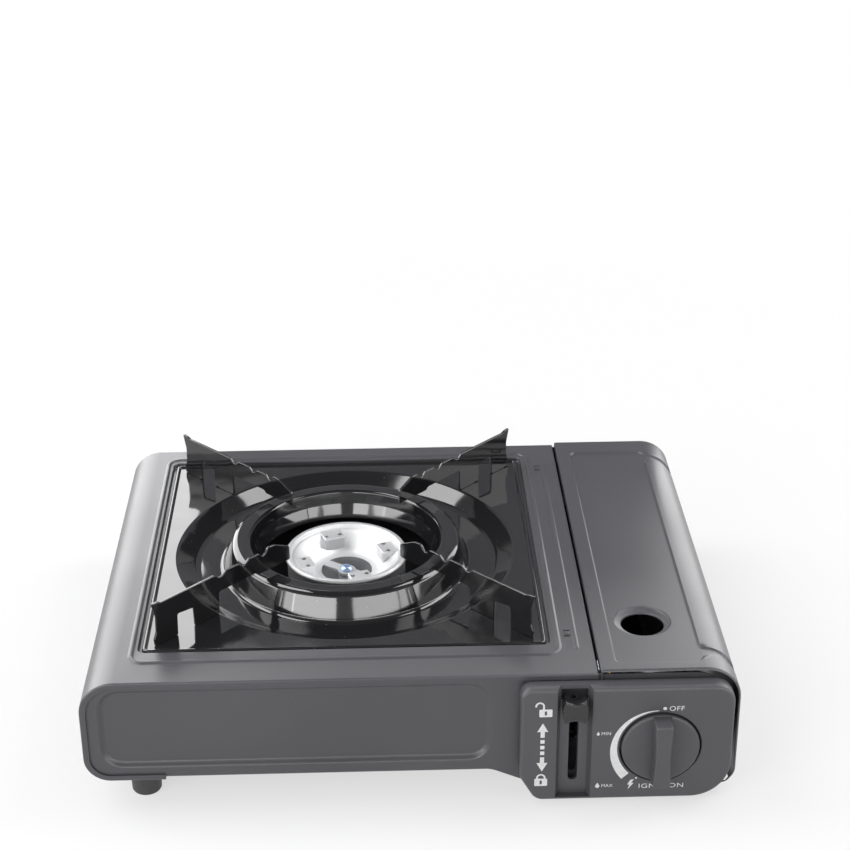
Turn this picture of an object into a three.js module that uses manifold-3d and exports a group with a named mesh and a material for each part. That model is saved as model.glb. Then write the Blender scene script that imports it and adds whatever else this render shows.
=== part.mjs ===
// A single-burner camping stove that runs on a lie-down gas cartridge.
// Millimetres, +Z up, standing on z = 0, with the control box at the front (-Y).
import * as THREE from 'three';
import { mergeVertices } from 'three/addons/utils/BufferGeometryUtils.js';
import Module from 'manifold-3d';

const wasm = await Module();
wasm.setup();

// ---- Driving dimensions -------------------------------------------------------------------
const BODY_WIDTH = 345;
const BODY_DEPTH = 265; // front rim to rear rim of the deck
const DECK_Z = 77; // top face of the deck
const SHEET = 0.8; // steel sheet of the body
const GAP = 0.3; // clearance between neighbouring pieces
const SHELL_FLOOR_Z = 15.8; // underside of the left half
const TRAY_FLOOR_Z = 5.6; // underside of the deeper cartridge side
const SHOULDER_RADIUS = 19;
const RIM_WIDTH = 3.4; // turned-in front and rear edge of the shell
const SEAM_X = 97.3; // right edge of the deck, where the cartridge lid begins

const PAN_X = -34.5; // centre of the burner, the drip pan and the pan supports
const PAN_Y = 6;
const PAN_SIDE = 215;
const PAN_RIM_Z = 75.6;
const PAN_SHEET = 0.8;
const PAN_FLOOR_Z = 68.2;
const BOWL_RADIUS = 97.2;
const COLLAR_RADIUS = 69.5;
const COLLAR_TOP_Z = 84.2;
const COLLAR_INNER_RADIUS = 57.3;
const BURNER_HOLE_RADIUS = 50.7;

const SUPPORT_TOP_Z = 100.6; // face that a cooking pot stands on
const SUPPORT_THICKNESS = 1.5;

const BURNER_RADIUS = 35.5;
const BURNER_TOP_Z = 73.8;

const BOX_LEFT = 56.5;
const BOX_RIGHT = 168.1;
const BOX_BOTTOM = 3.1;
const BOX_TOP = 73.3;
const BOX_FRONT_Y = -141;
const KNOB_X = 130.1;
const KNOB_Z = 36;
const KNOB_RADIUS = 20.7;
const KNOB_FRONT_Y = -151.5; // front of the grip bar
const KNOB_TURN = 150; // degrees from off to ignition

const LEVER_X = 84.7; // middle of the lock lever's channel
const LEVER_PIVOT_Y = -84;
const LEVER_PIVOT_Z = 39.2;
const LEVER_REACH = 60.6; // pivot to the middle of the thumb piece
const LEVER_LIFT = THREE.MathUtils.degToRad(21.3); // slope of the arm when unlocked
const TAIL_REACH = 12; // pivot to the pin that draws the cartridge pusher

const CAN_X = 130; // axis of the gas cartridge, which is 67 across
const CAN_Z = 41;

const LID_TOP_Z = 78.8;
const LID_LEFT = 98.6;
const LID_HINGE_X = 162.8;
const LID_HINGE_Z = 15;

const HALF_W = BODY_WIDTH / 2;
const HALF_D = BODY_DEPTH / 2;
const CURL_RADIUS = HALF_W - LID_HINGE_X; // lower edge of the lid, rolled round the hinge
const WALL_Y = HALF_D - SHEET - GAP; // outer face of the tray's front and rear walls
const DIVIDER_X = 71; // sheet between the burner and the cartridge

// ---- Ways of making solids ----------------------------------------------------------------

// A closed geometry as a solid, with its faces pointing out.
function solid(geometry) {
  const bare = geometry.clone();
  bare.deleteAttribute('normal');
  bare.deleteAttribute('uv');
  const merged = mergeVertices(bare, 1e-4);
  const vertProperties = Float32Array.from(merged.attributes.position.array);
  const corner = (i) => new THREE.Vector3().fromArray(vertProperties, 3 * i);
  const triangles = [];
  let volume = 0;
  for (let i = 0; i < merged.index.count; i += 3) {
    const [a, b, c] = merged.index.array.slice(i, i + 3);
    if (a === b || b === c || c === a) continue;
    triangles.push([a, b, c]);
    volume += corner(a).dot(corner(b).cross(corner(c)));
  }
  const wound = volume < 0 ? triangles.map(([a, b, c]) => [a, c, b]) : triangles;
  const triVerts = Uint32Array.from(wound.flat());
  return new wasm.Manifold(new wasm.Mesh({ numProp: 3, vertProperties, triVerts }));
}

// Corners joined by straight runs; a corner given as [x, y, radius] is rounded.
function rounded(corners, steps = 4, closed = false) {
  const line = [];
  corners.forEach(([x, y, radius = 0], i) => {
    const here = new THREE.Vector2(x, y);
    if (!radius || (!closed && (i === 0 || i === corners.length - 1))) {
      line.push(here);
      return;
    }
    const before = corners[(i + corners.length - 1) % corners.length];
    const after = corners[(i + 1) % corners.length];
    const back = new THREE.Vector2(before[0], before[1]).sub(here).normalize();
    const on = new THREE.Vector2(after[0], after[1]).sub(here).normalize();
    const half = Math.acos(THREE.MathUtils.clamp(back.dot(on), -1, 1)) / 2;
    const middle = back.clone().add(on).setLength(radius / Math.sin(half)).add(here);
    const from = back.clone().multiplyScalar(radius / Math.tan(half)).add(here).sub(middle);
    const turn = Math.sign(back.cross(on)) * (Math.PI - 2 * half);
    for (let k = 0; k <= steps; k += 1) {
      line.push(from.clone().rotateAround(new THREE.Vector2(), (-turn * k) / steps).add(middle));
    }
  });
  return line;
}

// The line moved to its left by a distance.
function offset(line, distance) {
  return line.map((point, i) => {
    const before = line[Math.max(i - 1, 0)];
    const after = line[Math.min(i + 1, line.length - 1)];
    const into = (i > 0 ? point.clone().sub(before) : after.clone().sub(point)).normalize();
    const out = (i < line.length - 1 ? after.clone().sub(point) : point.clone().sub(before)).normalize();
    const along = into.clone().add(out).normalize();
    const reach = distance / Math.max(along.dot(into), 0.3);
    return new THREE.Vector2(-along.y, along.x).multiplyScalar(reach).add(point);
  });
}

// The outline of a bent sheet between two offsets of one line.
function band(line, near, far) {
  return new THREE.Shape([...offset(line, near), ...offset(line, far).reverse()]);
}

function outline(corners, steps = 3) {
  return new THREE.Shape(rounded(corners, steps, true));
}

function roundedRect(x0, y0, x1, y1, radius, steps = 3) {
  return outline([[x0, y0, radius], [x1, y0, radius], [x1, y1, radius], [x0, y1, radius]], steps);
}

function disc(x, y, radius, sides = 24) {
  const points = [];
  for (let k = 0; k < sides; k += 1) {
    const angle = (2 * Math.PI * k) / sides;
    points.push(new THREE.Vector2(x + radius * Math.cos(angle), y + radius * Math.sin(angle)));
  }
  return new THREE.Shape(points);
}

function extruded(shape, depth, bevel = null) {
  const settings = { depth, bevelEnabled: false, curveSegments: 8 };
  if (bevel) {
    Object.assign(settings, {
      bevelEnabled: true, bevelThickness: bevel.depth, bevelSize: bevel.size,
      bevelOffset: -bevel.size, bevelSegments: bevel.steps,
    });
  }
  return new THREE.ExtrudeGeometry(shape, settings);
}

// A shape drawn in X and Y, raised from z0 to z1.
function slabZ(shape, z0, z1) {
  return solid(extruded(shape, z1 - z0).translate(0, 0, z0));
}

// A shape drawn in X and Z, carried from y0 back to y1.
function slabY(shape, y0, y1) {
  return solid(extruded(shape, y1 - y0).rotateX(Math.PI / 2).translate(0, y1, 0));
}

// A shape drawn in Y and Z, carried from x0 to x1.
function slabX(shape, x0, x1) {
  const turn = new THREE.Matrix4().makeBasis(
    new THREE.Vector3(0, 1, 0), new THREE.Vector3(0, 0, 1), new THREE.Vector3(1, 0, 0));
  return solid(extruded(shape, x1 - x0).applyMatrix4(turn).translate(x0, 0, 0));
}

// A slab along Z whose two ends are rounded over by size across and depth along the slab.
function softSlabZ(shape, z0, z1, size, depth, steps = 2) {
  const geometry = extruded(shape, z1 - z0 - 2 * depth, { size, depth, steps });
  return solid(geometry.translate(0, 0, z0 + depth));
}

function softSlabY(shape, y0, y1, size, depth, steps = 2) {
  const geometry = extruded(shape, y1 - y0 - 2 * depth, { size, depth, steps });
  return solid(geometry.rotateX(Math.PI / 2).translate(0, y1 - depth, 0));
}

// A profile of [radius, height] points turned about the Z axis.
function turned(profile, segments = 32) {
  const points = profile.map(([r, z]) => new THREE.Vector2(r, z));
  return solid(new THREE.LatheGeometry([...points, points[0]], segments).rotateX(Math.PI / 2));
}

function box(x0, x1, y0, y1, z0, z1) {
  const geometry = new THREE.BoxGeometry(x1 - x0, y1 - y0, z1 - z0);
  return solid(geometry.translate((x0 + x1) / 2, (y0 + y1) / 2, (z0 + z1) / 2));
}

// A round bar or a bore along one axis.
function rodX(y, z, radius, x0, x1, sides = 16) {
  return slabX(disc(y, z, radius, sides), x0, x1);
}

function rodY(x, z, radius, y0, y1, sides = 16) {
  return slabY(disc(x, z, radius, sides), y0, y1);
}

function rodZ(x, y, radius, z0, z1, sides = 16) {
  return slabZ(disc(x, y, radius, sides), z0, z1);
}

// A round bar that follows points in space.
function bar(points, radius, sides, steps) {
  const knots = points.map((p) => new THREE.Vector3(...p));
  const curve = new THREE.CatmullRomCurve3(knots, false, 'centripetal');
  const section = disc(0, 0, radius, sides);
  return solid(new THREE.ExtrudeGeometry(section, { steps, extrudePath: curve, bevelEnabled: false }));
}

function joined(...bodies) {
  return bodies.reduce((whole, body) => whole.add(body));
}

function cut(body, ...tools) {
  return tools.reduce((whole, tool) => whole.subtract(tool), body);
}

function repeated(count, make) {
  return joined(...Array.from({ length: count }, (_, i) => make(i)));
}

// ---- Finishes -----------------------------------------------------------------------------
const FINISHES = {
  paint: { color: 0x5c5c60, roughness: 0.42, metalness: 0.25 },
  enamel: { color: 0x17171a, roughness: 0.14, metalness: 0 },
  aluminium: { color: 0xcfd0d2, roughness: 0.34, metalness: 1 },
  steel: { color: 0x9c9fa3, roughness: 0.38, metalness: 1 },
  brass: { color: 0xb08d4a, roughness: 0.35, metalness: 1 },
  plastic: { color: 0x46464a, roughness: 0.6, metalness: 0 },
  gloss_plastic: { color: 0x1b1b1d, roughness: 0.2, metalness: 0 },
  rubber: { color: 0x2a2a2b, roughness: 0.85, metalness: 0 },
  ceramic: { color: 0xe9e6dd, roughness: 0.3, metalness: 0 },
};

const stove = new THREE.Group();

function add(name, body, finish, parent = stove) {
  const { vertProperties, triVerts } = body.getMesh();
  const geometry = new THREE.BufferGeometry();
  geometry.setAttribute('position', new THREE.BufferAttribute(new Float32Array(vertProperties), 3));
  geometry.setIndex(new THREE.BufferAttribute(new Uint32Array(triVerts), 1));
  const flat = geometry.toNonIndexed();
  flat.computeVertexNormals();
  const mesh = new THREE.Mesh(flat, new THREE.MeshStandardMaterial(FINISHES[finish]));
  mesh.name = name;
  parent.add(mesh);
  return mesh;
}

// ---- Body sheets --------------------------------------------------------------------------

// Sheets turned down between the tray's walls stop short of them.
const FLANGE_Y = WALL_Y - SHEET - GAP;

// The recess in the deck that the square drip pan drops into.
const WELL_MARGIN = 2.3;
const WELL_CORNER = 4.2;
const WELL_FLOOR_Z = PAN_RIM_Z - PAN_SHEET - GAP;
const WELL = {
  x0: PAN_X - PAN_SIDE / 2 - WELL_MARGIN, x1: PAN_X + PAN_SIDE / 2 + WELL_MARGIN,
  y0: PAN_Y - PAN_SIDE / 2 - WELL_MARGIN, y1: PAN_Y + PAN_SIDE / 2 + WELL_MARGIN,
};

function wellRect(grow, radius) {
  return roundedRect(WELL.x0 - grow, WELL.y0 - grow, WELL.x1 + grow, WELL.y1 + grow, radius);
}

function stiffeningBead(shape) {
  return softSlabZ(shape, DECK_Z - 0.6, DECK_Z + 0.9, 1, 0.7);
}

// The shell's section, from the seam over the left shoulder to the lip under the left wall.
const LOWER_CURL_RADIUS = 14;
const LIP_END_X = -130;

function shellLine() {
  return rounded([[SEAM_X, DECK_Z], [-HALF_W, DECK_Z, SHOULDER_RADIUS],
    [-HALF_W, SHELL_FLOOR_Z, LOWER_CURL_RADIUS], [LIP_END_X, SHELL_FLOOR_Z]], 5);
}

// A ledge round the well carries the drip pan's rim; the bowl hangs through its round opening.
function panLedge() {
  const bowlOpening = BOWL_RADIUS + 2.5;
  return cut(
    slabZ(wellRect(SHEET, WELL_CORNER + SHEET), WELL_FLOOR_Z - SHEET, DECK_Z - 0.1),
    slabZ(wellRect(0, WELL_CORNER), WELL_FLOOR_Z, DECK_Z + 1),
    rodZ(PAN_X, PAN_Y, bowlOpening, WELL_FLOOR_Z - 2, DECK_Z, 32));
}

// A raised bead frames the well, wider at the front, and a straight rib runs beside the seam.
function deckBeads() {
  const frame = roundedRect(WELL.x0 - 4.6, WELL.y0 - 11, WELL.x1 + 5.4, WELL.y1 + 6, 9);
  const inside = roundedRect(WELL.x0 - 1.2, WELL.y0 - 7.6, WELL.x1 + 2, WELL.y1 + 2.6, 6);
  frame.holes.push(new THREE.Path(inside.getPoints().reverse()));
  const ribX = 88.3;
  const ribHalf = 1.6;
  const rib = roundedRect(ribX - ribHalf, -109, ribX + ribHalf, 107, 1.1, 2);
  return joined(stiffeningBead(frame), stiffeningBead(rib));
}

// Deck and left wall are one bent sheet, turned in at the front, the rear and the bottom.
function topShell() {
  const wrap = shellLine();
  const rim = band(wrap, 0, RIM_WIDTH);
  const seamDrop = 7;
  return joined(
    cut(slabY(band(wrap, 0, SHEET), -HALF_D, HALF_D),
      slabZ(wellRect(0, WELL_CORNER), DECK_Z - 3, DECK_Z + 1)),
    box(SEAM_X - SHEET, SEAM_X, -FLANGE_Y, FLANGE_Y, DECK_Z - seamDrop, DECK_Z - 0.1),
    slabY(rim, -HALF_D, -HALF_D + SHEET),
    slabY(rim, HALF_D - SHEET, HALF_D),
    panLedge(),
    deckBeads());
}

// The floor drops from the burner side to the deeper cartridge side.
const TRAY_LEFT_Z = SHELL_FLOOR_Z + SHEET + GAP;
const TRAY_RIGHT_X = 166;

// It rises again at the right edge, where the lid's rolled edge swings under it.
const HINGE_STEP_Z = 9.2;

function trayFloorLine(rise) {
  return [[42, TRAY_LEFT_Z + rise, 14], [68, TRAY_FLOOR_Z + rise, 12],
    [149, TRAY_FLOOR_Z + rise, 3], [154.5, HINGE_STEP_Z + rise, 2]];
}

function slotRow(count, pitch, make) {
  return repeated(count, (i) => make((i - (count - 1) / 2) * pitch));
}

const TRAY_LEFT_X = -HALF_W + SHEET + GAP;
const TRAY_TOP_Z = DECK_Z - SHEET - 0.4;

// Floor, front wall and rear wall bent from one sheet, open at both ends under the shell and the lid.
function trayBlank() {
  const wall = outline([
    [TRAY_LEFT_X, TRAY_LEFT_Z, 12.9], ...trayFloorLine(0), [TRAY_RIGHT_X, HINGE_STEP_Z, 3],
    [TRAY_RIGHT_X, TRAY_TOP_Z, 18], [TRAY_LEFT_X, TRAY_TOP_Z, 17.9],
  ], 4);
  const floorEndX = -156;
  const lowEdgeZ = 24;
  const beyond = 220;
  const inside = outline([
    [-beyond, 0], [floorEndX, 0], [floorEndX, TRAY_LEFT_Z + SHEET], ...trayFloorLine(SHEET),
    [TRAY_RIGHT_X - SHEET, HINGE_STEP_Z + SHEET, 2.2], [TRAY_RIGHT_X - SHEET, lowEdgeZ], [beyond, lowEdgeZ],
    [beyond, 100], [-beyond, 100],
  ], 4);
  return cut(slabY(wall, -WALL_Y, WALL_Y), slabY(inside, -WALL_Y + SHEET, WALL_Y - SHEET));
}

// The front wall's long panel, pressed in.
function withFrontPanel(blank) {
  const depth = 2.2;
  const panel = (grow) => roundedRect(-162.3 - grow, 24.3 - grow, 41 + grow, 71 + grow, 11 + grow);
  return cut(
    joined(blank, slabY(panel(SHEET), -WALL_Y, -WALL_Y + SHEET + depth)),
    slabY(panel(0), -WALL_Y - 1, -WALL_Y + depth));
}

// Upright cooling slots in the rear wall, behind the burner and behind the cartridge.
function rearVents() {
  const slot = (x, low) => slabY(roundedRect(x - 2.5, low, x + 2.5, low + 26, 2, 1), WALL_Y - 2, WALL_Y + 1);
  return joined(
    slotRow(6, 22, (x) => slot(PAN_X + x, 34)),
    slotRow(3, 16, (x) => slot(CAN_X + x, 30)));
}

function floorVents() {
  const slot = (x, y) => slabZ(roundedRect(x - 3, y - 16, x + 3, y + 16, 2.4, 1), 0, 30);
  return slotRow(3, 40, (x) => slotRow(2, 90, (y) => slot(PAN_X + x, PAN_Y + y)));
}

const HINGE_HOLE_RADIUS = 1.8;

// The two holes on the lid's hinge axis, through whatever wall stands at either end.
function hingeHoles() {
  const near = 120;
  const far = HALF_D + 1;
  return joined(
    rodY(LID_HINGE_X, LID_HINGE_Z, HINGE_HOLE_RADIUS, -far, -near, 12),
    rodY(LID_HINGE_X, LID_HINGE_Z, HINGE_HOLE_RADIUS, near, far, 12));
}

function baseTray() {
  const knobWindow = rodY(KNOB_X, KNOB_Z, 21, -WALL_Y - 1, -WALL_Y + 2, 28);
  const leverSlot = slabY(
    roundedRect(LEVER_X - 2.6, 15.5, LEVER_X + 2.6, 63, 2.4, 3), -WALL_Y - 1, -WALL_Y + 2);
  return cut(withFrontPanel(trayBlank()), knobWindow, leverSlot, rearVents(), floorVents(), hingeHoles());
}

// The upright sheet that keeps the burner's heat off the cartridge.
const FLOOR_TOP_Z = TRAY_FLOOR_Z + SHEET; // upper face of the floor on the cartridge side
const JET_Y = -104;
const JET_Z = 60;

function heatShield() {
  const reach = WALL_Y - SHEET - 3.5;
  const section = rounded([[DIVIDER_X + 6, FLOOR_TOP_Z + GAP], [DIVIDER_X, FLOOR_TOP_Z + GAP, 2],
    [DIVIDER_X, WELL_FLOOR_Z - SHEET - 1]], 3);
  const sheet = slabY(band(section, 0, -SHEET), -reach, reach);
  const vents = slotRow(3, 46, (y) => slabX(
    roundedRect(y - 12, 30, y + 12, 35, 2, 1), DIVIDER_X - 2, DIVIDER_X + 3));
  const tubeHole = rodX(JET_Y, JET_Z, 11, DIVIDER_X - 2, DIVIDER_X + 3);
  const leadHole = rodX(-96, 17, 4, DIVIDER_X - 2, DIVIDER_X + 3, 12);
  return cut(sheet, vents, tubeHole, leadHole);
}

// ---- Cartridge lid ------------------------------------------------------------------------
const LIFT_HOLE = { x: 126.5, y: -83.5, rim: 15.6, bore: 11.3, depth: 2.2 };
const LID_FIELD = { x0: 107, x1: 153, y0: -125, y1: 117, corner: 4, depth: 1 };
const CHANNEL_STARTS = [-119, 105.5]; // grooves that run from the field over the shoulder
const CHANNEL_WIDTH = 6.5;
const CHANNEL_END_Z = 26;

// The lid's outline from its left edge over the shoulder to the curl round the hinge.
function lidProfile(leftEdge) {
  const top = rounded([...leftEdge, [HALF_W, LID_TOP_Z, SHOULDER_RADIUS], [HALF_W, LID_HINGE_Z]], 5);
  const curl = [];
  for (let k = 1; k <= 3; k += 1) {
    const angle = (-Math.PI / 4) * (k / 3);
    curl.push(new THREE.Vector2(
      LID_HINGE_X + CURL_RADIUS * Math.cos(angle), LID_HINGE_Z + CURL_RADIUS * Math.sin(angle)));
  }
  return [...top, ...curl];
}

// The pressed field's outline, grown by the sheet where the underside is wanted.
function lidField(grow) {
  return roundedRect(LID_FIELD.x0 - grow, LID_FIELD.y0 - grow, LID_FIELD.x1 + grow, LID_FIELD.y1 + grow,
    LID_FIELD.corner + grow, 3);
}

// A stretch of the lid's section, from inside the field over the shoulder and down the side.
function shoulderLine(endZ) {
  return rounded([[LID_FIELD.x1 - LID_FIELD.corner - 2, LID_TOP_Z], [HALF_W, LID_TOP_Z, SHOULDER_RADIUS],
    [HALF_W, endZ]], 5);
}

// The dished ring that a finger goes through to lift the lid.
function liftRing(fieldZ) {
  const low = fieldZ - LIFT_HOLE.depth;
  return turned([
    [LIFT_HOLE.rim + 1, fieldZ], [LIFT_HOLE.rim, fieldZ], [LIFT_HOLE.bore + 1.2, low],
    [LIFT_HOLE.bore, low], [LIFT_HOLE.bore, low - SHEET],
    [LIFT_HOLE.bore + 1.9, low - SHEET], [LIFT_HOLE.rim + 1, fieldZ - SHEET],
  ], 24).translate(LIFT_HOLE.x, LIFT_HOLE.y, 0);
}

// Near both ends of the field the pressing runs on over the shoulder as a groove, so that the rolled
// side stands proud between them.
function cartridgeLid() {
  const fieldZ = LID_TOP_Z - LID_FIELD.depth;
  const skin = slabY(band(lidProfile([[LID_LEFT, LID_TOP_Z]]), 0, -SHEET), -HALF_D, HALF_D);
  const flange = box(LID_LEFT, LID_LEFT + SHEET, -FLANGE_Y, FLANGE_Y, LID_TOP_Z - 6, LID_TOP_Z - 0.1);
  const linings = CHANNEL_STARTS.map((y) => slabY(
    band(shoulderLine(CHANNEL_END_Z - SHEET), -0.1, -LID_FIELD.depth - SHEET),
    y - SHEET, y + CHANNEL_WIDTH + SHEET));
  const grooves = CHANNEL_STARTS.map((y) => slabY(
    band(shoulderLine(CHANNEL_END_Z), 1, -LID_FIELD.depth), y, y + CHANNEL_WIDTH));
  const dished = cut(
    joined(skin, flange, slabZ(lidField(SHEET), fieldZ - SHEET, LID_TOP_Z - 0.1), ...linings),
    slabZ(lidField(0), fieldZ, LID_TOP_Z + 1),
    ...grooves,
    rodZ(LIFT_HOLE.x, LIFT_HOLE.y, LIFT_HOLE.rim + 0.5, fieldZ - 2, LID_TOP_Z, 24));
  const apron = band(lidProfile([[LID_LEFT + 0.3, LID_TOP_Z]]), 0, -6);
  const ear = disc(LID_HINGE_X, LID_HINGE_Z, CURL_RADIUS - 0.5, 20);
  const endPlate = (y) => joined(slabY(apron, y, y + SHEET), slabY(ear, y, y + SHEET));
  return cut(joined(dished, liftRing(fieldZ), endPlate(-HALF_D), endPlate(HALF_D - SHEET)), hingeHoles());
}

// A short rivet along Y through the lid's ear and the tray's wall, headed inside.
function hingePin(side) {
  const outer = HALF_D;
  const inner = WALL_Y - SHEET;
  const pin = joined(
    rodY(LID_HINGE_X, LID_HINGE_Z, 1.5, inner - 1.6, outer, 12),
    rodY(LID_HINGE_X, LID_HINGE_Z, 2.1, inner - 1.6, inner - GAP, 12));
  return side > 0 ? pin : pin.mirror([0, 1, 0]);
}

// A bright spring clip on the deck's turned-down edge that the lid's edge snaps past.
function lidCatch() {
  const face = SEAM_X + GAP;
  const leaf = rounded([[face, 62], [face, 70], [face + 0.25, 73], [face, DECK_Z]], 3);
  return slabY(band(leaf, 0, -0.4), -129, -120);
}

// ---- Control box --------------------------------------------------------------------------
const BOX_WALL = 2.2;
const BOX_BACK_Y = -HALF_D - GAP;
const CHANNEL_DEPTH = 4;
const CHANNEL_FLOOR_Y = BOX_FRONT_Y + CHANNEL_DEPTH;
const CHANNEL_MOUTH = 18.5;
const KNOB_SEAT_RADIUS = KNOB_RADIUS + 0.8;

function boxOutline(inset) {
  const r = (radius) => Math.max(radius - inset, 0.6);
  return outline([
    [BOX_LEFT + inset, BOX_TOP - inset, r(6)], [BOX_LEFT + inset, 18, r(8)],
    [65 + inset, BOX_BOTTOM + inset, r(6)], [BOX_RIGHT - inset, BOX_BOTTOM + inset, r(21)],
    [BOX_RIGHT - inset, BOX_TOP - inset, r(11)],
  ], 5);
}

// The tapering channel that the thumb piece slides in, open at the top.
function leverChannel() {
  const mouth = CHANNEL_MOUTH / 2;
  const floor = 7.3;
  const front = BOX_FRONT_Y - 0.01;
  const section = outline([[LEVER_X - mouth, front], [LEVER_X + mouth, front],
    [LEVER_X + floor, CHANNEL_FLOOR_Y], [LEVER_X - floor, CHANNEL_FLOOR_Y]]);
  return slabZ(section, BOX_BOTTOM + BOX_WALL, BOX_TOP + 2);
}

// The lever's slot, and the wider window above it that the arm goes in by.
function leverOpenings() {
  const slot = slabY(
    roundedRect(LEVER_X - 2.5, 13.6, LEVER_X + 2.5, 66, 2, 3), BOX_FRONT_Y - 1, BOX_BACK_Y + 1);
  const window = box(
    LEVER_X - 7, LEVER_X + 7, CHANNEL_FLOOR_Y - 1, BOX_BACK_Y + 1, 64, BOX_TOP - BOX_WALL);
  return joined(slot, window);
}

function controlBox() {
  const outer = cut(
    softSlabY(boxOutline(0), BOX_FRONT_Y, BOX_BACK_Y + 10, 1.7, 1.7, 2),
    box(0, 200, BOX_BACK_Y, BOX_BACK_Y + 20, -10, 100));
  const hollow = slabY(boxOutline(BOX_WALL), BOX_FRONT_Y + BOX_WALL, BOX_BACK_Y + 1);
  const channelBack = box(
    LEVER_X - CHANNEL_MOUTH / 2 - 1, LEVER_X + CHANNEL_MOUTH / 2 + 1,
    BOX_FRONT_Y + 1.5, CHANNEL_FLOOR_Y + 1.8, 4, BOX_TOP - 1);
  const knobSeat = rodY(KNOB_X, KNOB_Z, KNOB_SEAT_RADIUS, BOX_FRONT_Y - 1, BOX_BACK_Y, 32);
  const knobWall = cut(
    rodY(KNOB_X, KNOB_Z, KNOB_SEAT_RADIUS + 2, BOX_FRONT_Y + 1, BOX_BACK_Y - 3, 32), knobSeat);
  const shell = cut(
    joined(cut(outer, hollow), channelBack), leverChannel(), leverOpenings(), knobSeat);
  return joined(shell, knobWall);
}

// A disc with a raised grip bar across it and a stub behind that takes the spindle.
const KNOB_DISC_FRONT = BOX_FRONT_Y - 1.4;
const KNOB_DISC_BACK = BOX_FRONT_Y + 3.2;
const SPINDLE_RADIUS = 3;

function controlKnob() {
  const face = softSlabY(disc(KNOB_X, KNOB_Z, KNOB_RADIUS, 32), KNOB_DISC_FRONT, KNOB_DISC_BACK + 3, 1, 1);
  const plate = cut(face, box(0, 200, KNOB_DISC_BACK, 0, 0, 100));
  const waisted = outline([
    [KNOB_X - 5.4, KNOB_Z - 20, 1.8], [KNOB_X + 5.4, KNOB_Z - 20, 1.8], [KNOB_X + 4.4, KNOB_Z, 50],
    [KNOB_X + 5.4, KNOB_Z + 20, 1.8], [KNOB_X - 5.4, KNOB_Z + 20, 1.8], [KNOB_X - 4.4, KNOB_Z, 50],
  ]);
  const grip = softSlabY(waisted, KNOB_FRONT_Y, KNOB_DISC_BACK + 8, 1.1, 7);
  const bore = rodY(KNOB_X, KNOB_Z, SPINDLE_RADIUS + GAP, KNOB_FRONT_Y + 3, 0);
  return cut(joined(plate, cut(grip, box(0, 200, KNOB_DISC_BACK, 0, 0, 100))), bore);
}

// ---- Gas valve, spindle and igniter -------------------------------------------------------
const BRACKET_Y = -WALL_Y + SHEET + GAP; // front face of the valve bracket
const VALVE_FRONT = BRACKET_Y + 1.2 + GAP;
const VALVE_BACK = VALVE_FRONT + 26;
const PLUNGER_OFFSET = 15;
const PLUNGER_RADIUS = 2;
const PLUNGER_TRAVEL = 4;
const CAM_FRONT = KNOB_DISC_BACK + 0.4;
const CAM_THICKNESS = 1.2;
const CHAMBER_X = 150; // right face of the regulator's chamber, under its cover
const DIAPHRAGM_Y = VALVE_FRONT + 17.5;
const DIAPHRAGM_Z = 42;
const DIAPHRAGM_RADIUS = 17;

function valveBracket() {
  const angle = rounded([[BRACKET_Y + 16, FLOOR_TOP_Z + GAP], [BRACKET_Y, FLOOR_TOP_Z + GAP, 2],
    [BRACKET_Y, 68]], 3);
  const plate = slabX(band(angle, 0, -1.2), 103, 147);
  const spindleHole = rodY(KNOB_X, KNOB_Z, 7, BRACKET_Y - 1, BRACKET_Y + 2);
  const plungerHole = rodY(KNOB_X - PLUNGER_OFFSET, KNOB_Z, 3.4, BRACKET_Y - 1, BRACKET_Y + 2);
  return cut(plate, spindleHole, plungerHole);
}

function regulatorBody() {
  const block = slabY(roundedRect(122, 24, 146, 60, 4), VALVE_FRONT, VALVE_BACK);
  const boss = rodY(KNOB_X, KNOB_Z, 6.2, VALVE_FRONT - 6, VALVE_FRONT + 1);
  const socketRim = VALVE_BACK + 9;
  const barrel = rodY(CAN_X, CAN_Z, 15, VALVE_BACK - 1, socketRim, 20);
  const lip = rodY(CAN_X, CAN_Z, 18, socketRim - 3, socketRim, 20);
  const socket = cut(joined(barrel, lip), rodY(CAN_X, CAN_Z, 12, VALVE_BACK + 2, socketRim + 1));
  const feedPin = rodY(CAN_X, CAN_Z, 3, VALVE_BACK, socketRim - 2, 12);
  const keyNotch = box(CAN_X - 3, CAN_X + 3, VALVE_BACK + 4, socketRim + 1, CAN_Z + 10, CAN_Z + 24);
  const chamber = rodX(DIAPHRAGM_Y, DIAPHRAGM_Z, DIAPHRAGM_RADIUS, 145, CHAMBER_X, 20);
  const bore = rodY(KNOB_X, KNOB_Z, SPINDLE_RADIUS + GAP, VALVE_FRONT - 8, VALVE_FRONT + 8);
  return cut(joined(block, boss, cut(socket, keyNotch), feedPin, chamber), bore);
}

// The stepped cap over the diaphragm, held by four screws in lugs round its edge.
function regulatorCover() {
  const r = DIAPHRAGM_RADIUS;
  const dome = turned([[0, 0], [r, 0], [r, 2.2], [r - 3.5, 3.4], [r - 3.5, 6], [r - 5.5, 8], [0, 8]], 20)
    .rotate([0, 90, 0]).translate(CHAMBER_X + GAP, DIAPHRAGM_Y, DIAPHRAGM_Z);
  const lugs = repeated(4, (i) => {
    const angle = Math.PI / 4 + (i * Math.PI) / 2;
    const y = DIAPHRAGM_Y + (r - 1) * Math.cos(angle);
    const z = DIAPHRAGM_Z + (r - 1) * Math.sin(angle);
    return rodX(y, z, 3, CHAMBER_X + GAP, CHAMBER_X + 4, 6);
  });
  return joined(dome, lugs);
}

function valveSpindle() {
  return rodY(KNOB_X, KNOB_Z, SPINDLE_RADIUS, KNOB_FRONT_Y + 4, VALVE_FRONT + 7);
}

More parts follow.
